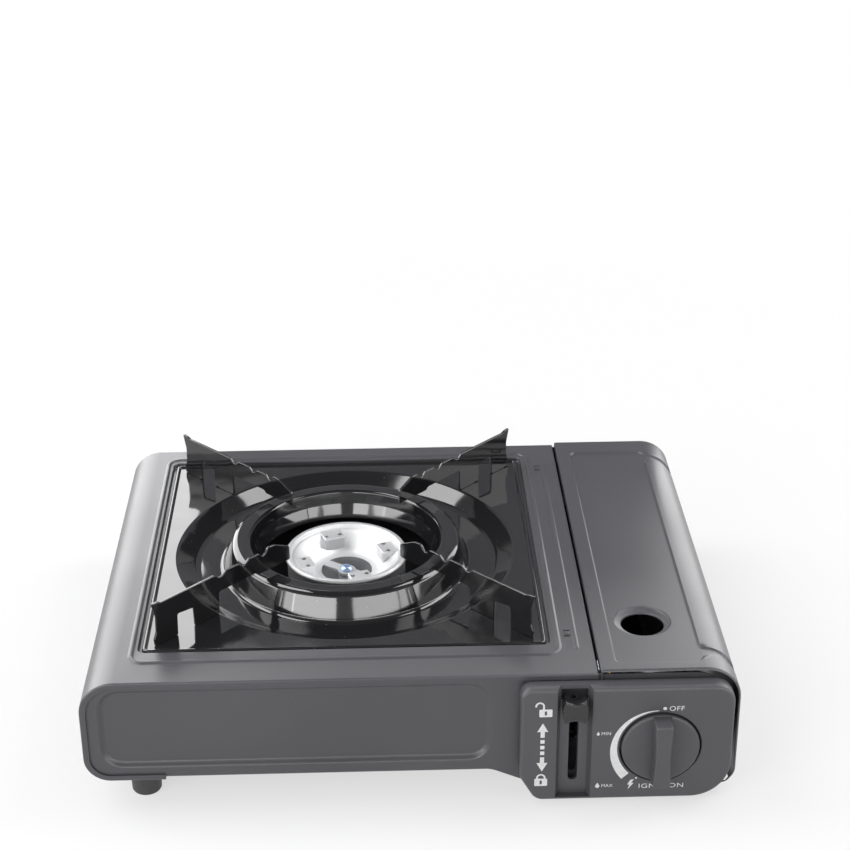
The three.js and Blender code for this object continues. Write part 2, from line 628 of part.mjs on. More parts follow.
// A ring whose rear face climbs like a screw thread and drives the igniter's plunger back.
function igniterCam() {
  const inner = PLUNGER_OFFSET - 3;
  const outer = PLUNGER_OFFSET + 3;
  const steps = 12;
  const turn = THREE.MathUtils.degToRad(KNOB_TURN);
  const ring = [];
  for (let k = 0; k <= steps; k += 1) {
    const angle = Math.PI - (turn * k) / steps;
    ring.push(new THREE.Vector2(Math.cos(angle), Math.sin(angle)));
  }
  const sector = new THREE.Shape([
    ...ring.map((p) => p.clone().multiplyScalar(outer)),
    ...ring.reverse().map((p) => p.clone().multiplyScalar(inner)),
  ]);
  const ramp = extruded(sector, 1);
  const place = ramp.attributes.position;
  for (let i = 0; i < place.count; i += 1) {
    if (place.getZ(i) > 0.5) continue;
    const climbed = (Math.PI - Math.atan2(place.getY(i), place.getX(i))) / turn;
    place.setZ(i, -PLUNGER_TRAVEL * climbed);
  }
  const hub = cut(rodY(0, 0, outer, 0, CAM_THICKNESS, 20), rodY(0, 0, SPINDLE_RADIUS + GAP, -1, 2));
  const climb = solid(ramp.rotateX(Math.PI / 2).translate(0, CAM_THICKNESS, 0));
  return joined(hub, climb).translate(KNOB_X, CAM_FRONT, KNOB_Z);
}

const PLUNGER_TIP = CAM_FRONT + CAM_THICKNESS + 0.5;

function igniterPlunger() {
  return rodY(KNOB_X - PLUNGER_OFFSET, KNOB_Z, PLUNGER_RADIUS, PLUNGER_TIP, VALVE_FRONT + 6, 16);
}

function piezoIgniter() {
  const x = KNOB_X - PLUNGER_OFFSET;
  const half = 6.2;
  const section = roundedRect(x - half, KNOB_Z - half, x + half, KNOB_Z + half, 2, 3);
  const body = slabY(section, VALVE_FRONT, VALVE_BACK - 3.4);
  const collar = rodY(x, KNOB_Z - 2, 3.4, VALVE_BACK - 4, VALVE_BACK - 1.6);
  const bore = rodY(x, KNOB_Z, PLUNGER_RADIUS + GAP, VALVE_FRONT - 1, VALVE_FRONT + 12);
  return cut(joined(body, collar), bore);
}

// ---- Gas line and burner ------------------------------------------------------------------
function gasPipe() {
  return bar([[121.3, JET_Y - 8, 54], [112, JET_Y - 8, 55.5], [104, JET_Y - 4, JET_Z],
    [96, JET_Y, JET_Z], [90, JET_Y, JET_Z]], 2.4, 10, 12);
}

function gasJet() {
  const hex = slabX(disc(JET_Y, JET_Z, 4.6, 6), 83, 89.7);
  const cone = new THREE.CylinderGeometry(3.4, 1.6, 5, 16).rotateZ(-Math.PI / 2);
  const nose = solid(cone.translate(80.6, JET_Y, JET_Z));
  return cut(joined(hex, nose), rodX(JET_Y, JET_Z, 0.5, 77, 84, 8));
}

const CUP_RADIUS = 33;
const CUP_FLOOR_Z = 42;
const CUP_TOP_Z = 59.4;
const PASSAGE_RADIUS = 14.8; // two half-moon air openings, in the cap and in the cup's floor
const BRIDGE_TURN = -35; // degrees from the right to the bridge between them

function halfMoons(z0, z1) {
  const bridge = box(-20, 20, -3, 3, z0 - 1, z1 + 1);
  const boss = rodZ(0, 0, 5.2, z0 - 1, z1 + 1);
  return cut(rodZ(0, 0, PASSAGE_RADIUS, z0, z1, 24), bridge, boss).rotate([0, 0, BRIDGE_TURN]);
}

// The inside of the cup, from its floor up to the open rim.
function cupInside(topZ) {
  return [[CUP_RADIUS - 2, topZ], [CUP_RADIUS - 2, CUP_TOP_Z - 5.4], [28.4, CUP_FLOOR_Z + 5.6],
    [23.4, CUP_FLOOR_Z + 2], [0, CUP_FLOOR_Z + 2]];
}

// A tube that runs from the jet under the deck and turns up into the side of the cup, with a bell
// mouth where it draws in air.
function mixingTube() {
  const bore = 5.4;
  const tube = bar([[75.3, JET_Y, JET_Z], [60, JET_Y, JET_Z], [42, JET_Y, JET_Z], [16, JET_Y + 10, 55],
    [-8, JET_Y + 42, 50], [-22, JET_Y + 72, 50.5], [-30, JET_Y + 92, 51]], 7, 10, 12);
  const bell = cut(rodX(JET_Y, JET_Z, 9.5, 73, 78), rodX(JET_Y, JET_Z, 8.2, 74, 80));
  return cut(joined(tube, bell), rodX(JET_Y, JET_Z, bore, 50, 80, 12));
}

// The cup under the burner head and the mixing tube that feeds it are one casting. Gas fills the
// space between its two walls; air rises through the middle, past the post that takes the screw.
function burnerBody() {
  const sides = 24;
  const inner = PASSAGE_RADIUS + 0.4;
  const cup = turned([[0, CUP_FLOOR_Z], [24, CUP_FLOOR_Z], [30, CUP_FLOOR_Z + 4],
    [CUP_RADIUS, CUP_TOP_Z - 6], [CUP_RADIUS, CUP_TOP_Z], ...cupInside(CUP_TOP_Z)], sides);
  const hollow = turned([[0, CUP_TOP_Z + 1], ...cupInside(CUP_TOP_Z + 1)], sides);
  const innerWall = turned([[inner, CUP_FLOOR_Z + 1], [inner + 2, CUP_FLOOR_Z + 1], [inner + 2, CUP_TOP_Z],
    [inner, CUP_TOP_Z]], sides);
  const post = rodZ(0, 0, 5, CUP_FLOOR_Z, CUP_TOP_Z - 1, 12);
  const passage = halfMoons(CUP_FLOOR_Z - 1, CUP_FLOOR_Z + 3);
  const middle = joined(innerWall, post).translate(PAN_X, PAN_Y, 0);
  const casting = joined(cup.translate(PAN_X, PAN_Y, 0), mixingTube());
  return joined(cut(casting, joined(hollow, passage).translate(PAN_X, PAN_Y, 0)), middle);
}

const HEAD_BASE_Z = CUP_TOP_Z + GAP;
const DISH_Z = 61.3; // floor of the bowl
const PILOT_Z = 71.2; // top of the four bosses that the pilot holes are drilled in
const PILOT_REACH = 24.5;
const PILOT_TURN = 19; // degrees from the right to the first boss
const PORTS = 16; // flame notches under the rim
const SCREW_RADIUS = 1.6;

// A boss on the bowl's slope with two pilot holes through it into the gas space.
function pilotBoss(i, make) {
  return make().rotate([0, 0, PILOT_TURN + 90 * i]);
}

// The bright cap: a rim over a skirt with notches, and a bowl with a bridge across its open floor.
function burnerHead() {
  const shape = turned([
    [0, HEAD_BASE_Z], [17.6, HEAD_BASE_Z], [28.4, 68.4], [29.6, 66], [29.6, HEAD_BASE_Z],
    [CUP_RADIUS, HEAD_BASE_Z], [CUP_RADIUS + 0.6, 66], [BURNER_RADIUS - 0.6, 70.4], [BURNER_RADIUS, 72.4],
    [BURNER_RADIUS - 1, BURNER_TOP_Z], [BURNER_RADIUS - 3.6, BURNER_TOP_Z], [BURNER_RADIUS - 4.3, 71.8],
    [29.8, 71.4], [17.2, 61.9], [15.6, DISH_Z], [0, DISH_Z],
  ], 24);
  const bosses = repeated(4, (i) => pilotBoss(i, () => box(20.2, 30, -6.4, 6.4, 65, PILOT_Z)));
  const slope = turned([[0, HEAD_BASE_Z + 1], [17.6, HEAD_BASE_Z + 1], [28.4, 69.6], [28.4, 64], [36, 64],
    [36, 50], [0, 50]], 24);
  const ports = repeated(PORTS, (i) => {
    const port = box(29, CUP_RADIUS + 4, -1, 1, HEAD_BASE_Z - 1, HEAD_BASE_Z + 6.3);
    return port.rotate([0, 0, (360 * (i + 0.5)) / PORTS]);
  });
  const pilots = repeated(4, (i) => pilotBoss(i, () => joined(
    rodZ(PILOT_REACH, -4.3, 1.2, 50, 80, 6), rodZ(PILOT_REACH, 4.3, 1.2, 50, 80, 6))));
  const screwHole = rodZ(0, 0, SCREW_RADIUS + GAP, 50, 80, 12);
  const cap = joined(shape, cut(bosses, slope));
  return cut(cap, ports, halfMoons(50, 80), pilots, screwHole).translate(PAN_X, PAN_Y, 0);
}

// A cross-head screw through the bridge into the cup's post.
function burnerScrew() {
  const head = turned([[0, DISH_Z + GAP], [3.6, DISH_Z + GAP], [3.6, DISH_Z + 1.2], [2.6, DISH_Z + 2.2],
    [0, DISH_Z + 2.5]], 16);
  const shank = rodZ(0, 0, SCREW_RADIUS, CUP_TOP_Z - 0.7, DISH_Z + 1, 12);
  const recess = (turn) => box(-2, 2, -0.4, 0.4, DISH_Z + 1.4, DISH_Z + 4).rotate([0, 0, turn]);
  return cut(joined(head, shank), recess(0), recess(90)).translate(PAN_X, PAN_Y, 0);
}

// A hat-section strap that carries the burner over the tray.
const STRAP_TOP = CUP_FLOOR_Z - GAP;
const ELECTRODE_Y = PAN_Y + 43;

function burnerBracket() {
  const foot = TRAY_LEFT_Z + SHEET + GAP;
  const hat = rounded([[PAN_Y - 62, foot], [PAN_Y - 46, foot, 2], [PAN_Y - 40, STRAP_TOP - 1.2, 3],
    [PAN_Y + 50, STRAP_TOP - 1.2, 3], [PAN_Y + 56, foot, 2], [PAN_Y + 72, foot]], 3);
  const strap = slabX(band(hat, 0, 1.2), PAN_X - 12, PAN_X + 12);
  const electrodeHole = rodZ(PAN_X, ELECTRODE_Y, 3.2, 30, 50);
  return cut(strap, electrodeHole);
}

function electrodeInsulator() {
  const seat = STRAP_TOP + GAP;
  const body = turned([[0, 33], [2.9, 33], [2.9, seat], [4.6, seat], [4.6, seat + 3.7], [2.9, seat + 4.7],
    [2.9, 58], [0, 60]], 14);
  return cut(body, rodZ(0, 0, 1.2, 52, 64, 8)).translate(PAN_X, ELECTRODE_Y, 0);
}

function electrodePin() {
  return bar([[PAN_X, ELECTRODE_Y, 52.4], [PAN_X, ELECTRODE_Y, 62], [PAN_X, ELECTRODE_Y - 1.5, 65.4],
    [PAN_X, ELECTRODE_Y - 5.5, 66.6]], 0.7, 8, 7);
}

// The high-tension lead from the igniter, clipped along the floor to the electrode.
function ignitionLead() {
  const x = KNOB_X - PLUNGER_OFFSET;
  const route = [[x, VALVE_BACK - 0.6, KNOB_Z - 2], [x, VALVE_BACK + 1, KNOB_Z - 2.4],
    [x - 6, VALVE_BACK + 3, 23], [x - 16, -98, 16], [84, -97, 15], [70, -96, 17], [50, -92, 22],
    [20, -60, 23], [4, -10, 23], [-8, 34, 22], [-22, 50, 23], [PAN_X, ELECTRODE_Y, 28],
    [PAN_X, ELECTRODE_Y, 32.6]];
  return bar(route, 1.3, 6, 26);
}

// ---- Cartridge lock -----------------------------------------------------------------------
const PIN_RADIUS = 2;

function leverBracket() {
  const base = FLOOR_TOP_Z + GAP;
  const channel = rounded([[LEVER_X - 6, LEVER_PIVOT_Z + 8], [LEVER_X - 6, base, 2], [LEVER_X + 7, base, 2],
    [LEVER_X + 7, LEVER_PIVOT_Z + 8]], 3);
  const cheeks = slabY(band(channel, 0, 1.2), LEVER_PIVOT_Y - 8, LEVER_PIVOT_Y + 8);
  return cut(cheeks, rodX(LEVER_PIVOT_Y, LEVER_PIVOT_Z, PIN_RADIUS + GAP, LEVER_X - 12, LEVER_X + 12));
}

function leverPivotPin() {
  const outer = LEVER_X - 6 - GAP;
  return joined(
    rodX(LEVER_PIVOT_Y, LEVER_PIVOT_Z, PIN_RADIUS, outer - 1.4, LEVER_X + 9.4),
    rodX(LEVER_PIVOT_Y, LEVER_PIVOT_Z, 3.4, outer - 1.4, outer));
}

// Turned about the pivot, a point at a reach and slope in the lever's plane.
function leverPoint(reach, angle) {
  return [LEVER_PIVOT_Y - reach * Math.cos(angle), LEVER_PIVOT_Z + reach * Math.sin(angle)];
}

const TAIL_ANGLE = LEVER_LIFT + Math.PI / 2;

function leverArm() {
  const along = (reach, half, angle) => {
    const [y, z] = leverPoint(reach, angle);
    return [y + half * Math.sin(angle), z + half * Math.cos(angle)];
  };
  const arm = outline([
    along(0, -5, LEVER_LIFT), along(40, -4, LEVER_LIFT), along(44, -2.2, LEVER_LIFT),
    along(LEVER_REACH - 1, -2.2, LEVER_LIFT), along(LEVER_REACH - 1, 2.2, LEVER_LIFT),
    along(44, 2.2, LEVER_LIFT), along(40, 4, LEVER_LIFT), along(0, 5, LEVER_LIFT),
  ]);
  const tail = outline([
    along(0, -4.5, TAIL_ANGLE), along(TAIL_REACH, -3.4, TAIL_ANGLE), along(TAIL_REACH + 3.4, 0, TAIL_ANGLE),
    along(TAIL_REACH, 3.4, TAIL_ANGLE), along(0, 4.5, TAIL_ANGLE),
  ]);
  const plate = joined(
    slabX(arm, LEVER_X - 1, LEVER_X + 1), slabX(tail, LEVER_X - 1, LEVER_X + 1),
    rodX(LEVER_PIVOT_Y, LEVER_PIVOT_Z, 6.4, LEVER_X - 1, LEVER_X + 1, 20));
  const [pinY, pinZ] = leverPoint(TAIL_REACH, TAIL_ANGLE);
  const drawPin = rodX(pinY, pinZ, 1.5, LEVER_X, LEVER_X + 5, 12);
  const pivotHole = rodX(LEVER_PIVOT_Y, LEVER_PIVOT_Z, PIN_RADIUS + GAP, LEVER_X - 3, LEVER_X + 3);
  return cut(joined(plate, drawPin), pivotHole);
}

// The thumb piece: a slab waisted at top and bottom, pressed onto the end of the arm.
function leverKnob() {
  const [, middle] = leverPoint(LEVER_REACH, LEVER_LIFT);
  const half = 7;
  const waist = new THREE.Shape();
  waist.moveTo(LEVER_X - half + 1.6, middle - half);
  waist.quadraticCurveTo(LEVER_X, middle - half + 3.4, LEVER_X + half - 1.6, middle - half);
  waist.quadraticCurveTo(LEVER_X + half + 1.2, middle, LEVER_X + half - 1.6, middle + half);
  waist.quadraticCurveTo(LEVER_X, middle + half - 3.4, LEVER_X - half + 1.6, middle + half);
  waist.quadraticCurveTo(LEVER_X - half - 1.2, middle, LEVER_X - half + 1.6, middle - half);
  const front = BOX_FRONT_Y - 4.5;
  const back = BOX_FRONT_Y + CHANNEL_DEPTH - 0.5;
  const undercut = slabX(new THREE.Shape([
    new THREE.Vector2(back + 1, middle + half + 1), new THREE.Vector2(back, middle + half),
    new THREE.Vector2(front + 2.6, middle - half), new THREE.Vector2(back + 1, middle - half - 1),
  ]), LEVER_X - 10, LEVER_X + 10);
  const thumb = cut(softSlabY(waist, front, back, 1, 1.2), undercut);
  const stem = slabX(leverStem(2.8, 1.6, -3.6), LEVER_X - 2, LEVER_X + 2);
  const pocket = slabX(leverStem(2.4, -0.6, -9), LEVER_X - 1.3, LEVER_X + 1.3);
  return cut(joined(thumb, stem), pocket);
}

// A stretch of the arm's line, given by how far it runs past and short of the thumb's middle.
function leverStem(half, beyond, short) {
  const [y, z] = leverPoint(LEVER_REACH, LEVER_LIFT);
  const lean = (along, side) => [
    y - along * Math.cos(LEVER_LIFT) + side * Math.sin(LEVER_LIFT),
    z + along * Math.sin(LEVER_LIFT) + side * Math.cos(LEVER_LIFT),
  ];
  return outline([lean(beyond, -half), lean(short, -half), lean(short, half), lean(beyond, half)]);
}

const LINK_X = LEVER_X + 3; // inner face of the flat bar beside the lever
const LINK_THICKNESS = 1.2;
const PUSHER_Y = 109;

function pusherLink() {
  const [pinY, pinZ] = leverPoint(TAIL_REACH, TAIL_ANGLE);
  const strip = roundedRect(pinY - 6, pinZ - 5, PUSHER_Y, pinZ + 4, 2, 3);
  const slot = roundedRect(pinY - 1.9, pinZ - 2.6, pinY + 1.9, pinZ + 2.6, 1.7, 4);
  return cut(
    slabX(strip, LINK_X, LINK_X + LINK_THICKNESS), slabX(slot, LINK_X - 1, LINK_X + LINK_THICKNESS + 1));
}

function pusherPlate() {
  const left = LINK_X + LINK_THICKNESS + GAP;
  const [, pinZ] = leverPoint(TAIL_REACH, TAIL_ANGLE);
  const bend = rounded([[left, PUSHER_Y - 16], [left, PUSHER_Y, 2], [CAN_X, PUSHER_Y]], 3);
  const arm = slabZ(band(bend, 0, -1.5), pinZ - 5, pinZ + 4);
  const cup = turned([[0, 0], [19, 0], [21.4, 5], [20, 5.4], [18, 1.5], [0, 1.5]], 22)
    .rotate([90, 0, 0]).translate(CAN_X, PUSHER_Y, CAN_Z);
  return joined(arm, cup);
}

// A post with a window that keeps the pusher's flat bar straight.
function linkGuide() {
  const [, pinZ] = leverPoint(TAIL_REACH, TAIL_ANGLE);
  const base = FLOOR_TOP_Z + GAP;
  const bend = rounded([[20, base], [34, base, 2], [34, pinZ + 9]], 3);
  const strap = slabX(band(bend, 0, 1.2), LINK_X - 4, LINK_X + 5);
  const window = box(LINK_X - 0.5, LINK_X + LINK_THICKNESS + 0.5, 30, 38, pinZ - 5.6, pinZ + 4.6);
  return cut(strap, window);
}

// Two sloping flanks on a thin strap hold the cartridge level.
function cartridgeCradle() {
  const base = FLOOR_TOP_Z + GAP;
  const trough = rounded([[CAN_X - 27, base + 14], [CAN_X - 17, base, 3], [CAN_X + 17, base, 3],
    [CAN_X + 27, base + 14]], 3);
  const sheet = slabY(band(trough, 0, 0.6), -62, 74);
  const cutout = slabZ(roundedRect(CAN_X - 13, -44, CAN_X + 13, 56, 6), 5, 20);
  return cut(sheet, cutout);
}

// ---- Drip pan and pan supports ------------------------------------------------------------
const DIAGONAL_SLOTS = [[98.6, 112], [127.6, 140]]; // tab slots along each diagonal, from the centre

function alongDiagonal(body, quarter) {
  return body.rotate([0, 0, 45 + 90 * quarter]).translate(PAN_X, PAN_Y, 0);
}

// One line through the collar and the trough, on the underside of the sheet, from the burner hole out.
function bowlLine() {
  const floor = PAN_FLOOR_Z - PAN_SHEET;
  const crest = COLLAR_TOP_Z - PAN_SHEET;
  return rounded([
    [BURNER_HOLE_RADIUS, floor], [COLLAR_INNER_RADIUS - 0.6, floor, 2], [COLLAR_INNER_RADIUS, crest, 1.4],
    [COLLAR_INNER_RADIUS + 3, crest, 1.4], [COLLAR_RADIUS - 2.6, crest - 3.2, 2.4],
    [COLLAR_RADIUS + 0.8, floor, 3], [87, floor, 8], [BOWL_RADIUS + 0.8, PAN_RIM_Z - PAN_SHEET, 3],
    [101, PAN_RIM_Z - PAN_SHEET],
  ], 1);
}

// A square pressed sheet with a rolled edge, a round trough, and a raised collar round the burner.
function dripPan() {
  const sides = 32;
  const profile = band(bowlLine(), 0, PAN_SHEET).getPoints().map((point) => [point.x, point.y]);
  const bowl = turned(profile, sides).translate(PAN_X, PAN_Y, 0);
  const half = PAN_SIDE / 2;
  const square = (inset, radius) => roundedRect(
    PAN_X - half + inset, PAN_Y - half + inset, PAN_X + half - inset, PAN_Y + half - inset, radius, 2);
  const rim = cut(
    slabZ(square(0, 3), PAN_RIM_Z - PAN_SHEET, PAN_RIM_Z),
    rodZ(PAN_X, PAN_Y, 100.2, PAN_RIM_Z - 3, PAN_RIM_Z + 3, sides));
  const rolledEdge = cut(
    softSlabZ(square(0, 3), PAN_RIM_Z - 0.5, PAN_RIM_Z + 1.3, 0.8, 0.8), slabZ(square(3, 2), 60, 90));
  const slotHalf = SUPPORT_THICKNESS / 2 + GAP;
  const slots = repeated(4, (quarter) => repeated(2, (i) => alongDiagonal(
    box(...DIAGONAL_SLOTS[i], -slotHalf, slotHalf, 60, 90), quarter)));
  return cut(joined(bowl, rim, rolledEdge), slots);
}

// A pressed plate on edge: a stepped top, two feet with a window between, tabs through the pan.
function panSupport(quarter) {
  const foot = PAN_RIM_Z + GAP;
  const step = SUPPORT_TOP_Z - 2.6;
  const top = SUPPORT_TOP_Z - 0.2;
  const profile = outline([
    [142.8, foot], [143, 79.6, 1], [141.2, 84, 4], [141, 93, 6], [143.4, SUPPORT_TOP_Z + 1.2, 0.8],
    [139.4, SUPPORT_TOP_Z + 0.8, 1.5], [137, top, 2], [99.5, top, 1.2], [96.8, step, 1], [94.4, step, 1],
    [91, top, 2], [82.4, top, 1.2], [79.6, step, 1], [77.6, step, 1], [74.6, top, 1.6], [67.4, top, 1.2],
    [65.2, step, 0.8], [63, step, 0.8], [60.4, SUPPORT_TOP_Z + 1, 2.5], [55.6, SUPPORT_TOP_Z + 0.6, 3],
    [44.6, 95.8, 1.2], [44.4, 87.4, 1.2], [67.5, 87.4, 1.5], [69.5, 89.2, 2], [97.2, 89.2, 1.5], [97.6, foot],
    [115, foot], [115.4, 87.4, 1.2], [126.6, 88.6, 1.2], [127, foot],
  ].reverse(), 1);
  const plate = slabX(profile, -SUPPORT_THICKNESS / 2, SUPPORT_THICKNESS / 2);
  const tabs = repeated(2, (i) => box(-SUPPORT_THICKNESS / 2, SUPPORT_THICKNESS / 2,
    DIAGONAL_SLOTS[i][0] + 0.5, DIAGONAL_SLOTS[i][1] - 0.5, PAN_RIM_Z - PAN_SHEET, foot + 1));
  return alongDiagonal(joined(plate, tabs).rotate([0, 0, -90]), quarter);
}

// ---- Feet ---------------------------------------------------------------------------------
const FOOT_PLACES = {
  front_left: [-142.5, -117, SHELL_FLOOR_Z], front_right: [139, -117, TRAY_FLOOR_Z],
  rear_left: [-142.5, 117, SHELL_FLOOR_Z], rear_right: [139, 117, TRAY_FLOOR_Z],
};

function rubberFoot([x, y, under]) {
  const top = under - GAP;
  return turned([[0, 0], [7, 0], [7.8, 0.9], [8.4, top], [0, top]], 16).translate(x, y, 0);
}

// ---- Assembly -----------------------------------------------------------------------------
const body = new THREE.Group();
const lid = new THREE.Group();
const burner = new THREE.Group();
const controls = new THREE.Group();
const cartridgeLock = new THREE.Group();
const panAssembly = new THREE.Group();
stove.add(body, lid, burner, controls, cartridgeLock, panAssembly);

add('top_shell', topShell(), 'paint', body);
add('base_tray', baseTray(), 'paint', body);
add('heat_shield', heatShield(), 'steel', body);
for (const [place, where] of Object.entries(FOOT_PLACES)) {
  add(`foot_${place}`, rubberFoot(where), 'rubber', body);
}

add('cartridge_lid', cartridgeLid(), 'paint', lid);
add('lid_hinge_pin_front', hingePin(-1), 'steel', lid);
add('lid_hinge_pin_rear', hingePin(1), 'steel', lid);
add('lid_catch', lidCatch(), 'steel', lid);

add('burner_body', burnerBody(), 'aluminium', burner);
add('burner_head', burnerHead(), 'aluminium', burner);
add('burner_screw', burnerScrew(), 'steel', burner);
add('burner_bracket', burnerBracket(), 'steel', burner);
add('electrode_insulator', electrodeInsulator(), 'ceramic', burner);
add('electrode_pin', electrodePin(), 'steel', burner);
add('gas_pipe', gasPipe(), 'brass', burner);
add('gas_jet', gasJet(), 'brass', burner);

add('control_box', controlBox(), 'plastic', controls);
add('control_knob', controlKnob(), 'plastic', controls);
add('valve_spindle', valveSpindle(), 'brass', controls);
add('valve_bracket', valveBracket(), 'steel', controls);
add('regulator_body', regulatorBody(), 'aluminium', controls);
add('regulator_cover', regulatorCover(), 'aluminium', controls);
add('igniter_cam', igniterCam(), 'plastic', controls);
add('piezo_igniter', piezoIgniter(), 'gloss_plastic', controls);
add('igniter_plunger', igniterPlunger(), 'plastic', controls);
add('ignition_lead', ignitionLead(), 'rubber', controls);

add('lever_bracket', leverBracket(), 'steel', cartridgeLock);
add('lever_pivot_pin', leverPivotPin(), 'steel', cartridgeLock);
add('lever_arm', leverArm(), 'steel', cartridgeLock);
add('lever_knob', leverKnob(), 'gloss_plastic', cartridgeLock);
add('pusher_link', pusherLink(), 'steel', cartridgeLock);
add('pusher_plate', pusherPlate(), 'steel', cartridgeLock);
add('link_guide', linkGuide(), 'steel', cartridgeLock);
add('cartridge_cradle', cartridgeCradle(), 'steel', cartridgeLock);

add('drip_pan', dripPan(), 'enamel', panAssembly);
['rear_right', 'rear_left', 'front_left', 'front_right'].forEach((place, quarter) => {
  add(`pan_support_${place}`, panSupport(quarter), 'enamel', panAssembly);
});

// The knob's grip stands further forward than anything stands back, so the whole is centred.
stove.position.y = (Math.abs(KNOB_FRONT_Y) - HALF_D) / 2;
stove.updateMatrixWorld(true);

export default stove;
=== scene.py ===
import math

import bpy
from mathutils import Matrix, Vector


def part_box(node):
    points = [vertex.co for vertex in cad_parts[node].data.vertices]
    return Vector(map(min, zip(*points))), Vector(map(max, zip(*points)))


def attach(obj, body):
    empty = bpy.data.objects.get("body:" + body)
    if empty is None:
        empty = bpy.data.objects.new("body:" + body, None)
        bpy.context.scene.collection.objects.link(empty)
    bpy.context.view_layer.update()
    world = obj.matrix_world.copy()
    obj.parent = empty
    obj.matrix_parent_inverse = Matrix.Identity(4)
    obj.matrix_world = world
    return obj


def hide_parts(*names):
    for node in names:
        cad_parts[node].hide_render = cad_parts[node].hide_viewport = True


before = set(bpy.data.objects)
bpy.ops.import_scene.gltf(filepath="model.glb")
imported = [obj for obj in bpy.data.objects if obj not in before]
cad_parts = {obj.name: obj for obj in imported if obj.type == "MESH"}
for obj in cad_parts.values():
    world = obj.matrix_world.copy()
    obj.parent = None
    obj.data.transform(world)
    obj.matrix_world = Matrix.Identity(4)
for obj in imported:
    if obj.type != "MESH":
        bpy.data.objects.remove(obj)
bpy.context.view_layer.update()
MM = 0.001


# ---- Camera, table and light ----
# The stove stands on a white laminate table with a large softbox high on each side and a fill in front.
# Bright panels behind it and low in front are there for gloss only, and so is the dark card behind it.
def facing(place, turn, down, roll):
    ahead = Vector((math.sin(turn) * math.cos(down), math.cos(turn) * math.cos(down), -math.sin(down)))
    right = Vector((math.cos(turn), -math.sin(turn), 0))
    above = right.cross(ahead)
    across = math.cos(roll) * right + math.sin(roll) * above
    upward = math.cos(roll) * above - math.sin(roll) * right
    return Matrix.Translation(place) @ Matrix((across, upward, -ahead)).transposed().to_4x4()


camera = bpy.data.objects.new("camera", bpy.data.cameras.new("camera"))
bpy.context.scene.collection.objects.link(camera)
camera.data.lens = 78.78
camera.data.clip_start = 0.05
camera.matrix_world = facing(
    Vector((-13.9, -928.5, 614.5)) * MM, math.radians(1.57), math.radians(25.98), math.radians(-0.38))
bpy.context.scene.camera = camera
bpy.context.scene.view_settings.view_transform = "Standard"


def linear(code):
    """An sRGB hex colour as the linear values that a shader takes."""
    shares = [int(code[i:i + 2], 16) / 255 for i in (1, 3, 5)]
    return [s / 12.92 if s <= 0.04045 else ((s + 0.055) / 1.055) ** 2.4 for s in shares] + [1.0]


def node(tree, kind, settings=None, **inputs):
    """One node with its settings. An input is a value or another node's output; _0 is the first input."""
    made = tree.nodes.new(kind)
    for name, value in (settings or {}).items():
        setattr(made, name, value)
    for name, value in inputs.items():
        socket = made.inputs[int(name[1:])] if name[0] == "_" else made.inputs[name.replace("_", " ")]
        if isinstance(value, bpy.types.NodeSocket):
            tree.links.new(value, socket)
        else:
            socket.default_value = value
    return made


def blank(owner):
    owner.use_nodes = True
    owner.node_tree.nodes.clear()
    return owner.node_tree


def ramp(tree, value, low, high, start=0.0, end=1.0):
    """An output that goes from low to high while the value goes from start to end."""
    return node(tree, "ShaderNodeMapRange", Value=value, From_Min=start, From_Max=end,
                To_Min=low, To_Max=high).outputs[0]


# White melamine laminate: a glossy piece sees it as plain white glow. For the eye it glows less near the stove,
# where the soft shadow from the lamps stays, and fully white farther out: painted light on the far table.
table_finish = bpy.data.materials.new("white_melamine_laminate")
tree = blank(table_finish)
path = node(tree, "ShaderNodeLightPath")
place = node(tree, "ShaderNodeTexCoord").outputs["Object"]
away = node(tree, "ShaderNodeVectorMath", {"operation": "LENGTH"}, _0=place)
# Painted light: the eye's share of white glow rises from 0.62 within 0.25 m of the stove to 1 beyond 0.8 m.
painted_glow_by_distance = ramp(tree, away.outputs["Value"], 0.62, 1.0, 0.25, 0.8)
seen = node(tree, "ShaderNodeMath", {"operation": "MULTIPLY"}, _0=path.outputs["Is Camera Ray"], _1=painted_glow_by_distance)
share = node(tree, "ShaderNodeMath", {"operation": "MAXIMUM"}, _0=seen.outputs[0],
             _1=path.outputs["Is Glossy Ray"])
matt = node(tree, "ShaderNodeBsdfDiffuse", Color=linear("#F2F2F2"))
glow = node(tree, "ShaderNodeEmission", Color=(1, 1, 1, 1), Strength=1.0)
both = node(tree, "ShaderNodeMixShader", _0=share.outputs[0], _1=matt.outputs[0], _2=glow.outputs[0])
node(tree, "ShaderNodeOutputMaterial", Surface=both.outputs[0])

bpy.ops.object.select_all(action="DESELECT")
bpy.ops.mesh.primitive_plane_add(size=12, location=(0, 0, -0.0003))
table = bpy.context.object
table.name = "table"
table.data.materials.append(table_finish)

world = bpy.data.worlds.new("studio")
bpy.context.scene.world = world
tree = blank(world)
path = node(tree, "ShaderNodeLightPath")
look = node(tree, "ShaderNodeSeparateXYZ", Vector=node(tree, "ShaderNodeTexCoord").outputs["Generated"])
ceiling = ramp(tree, look.outputs["Z"], 0.6, 0.15, 0.55, 0.8)
ambient = node(tree, "ShaderNodeMix", Factor=path.outputs["Is Glossy Ray"], _2=0.5, _3=ceiling)
level = node(tree, "ShaderNodeMix", Factor=path.outputs["Is Camera Ray"], _2=ambient.outputs[0], _3=1.0)
sky = node(tree, "ShaderNodeBackground", Color=(1, 1, 1, 1), Strength=level.outputs[0])
node(tree, "ShaderNodeOutputWorld", Surface=sky.outputs[0])

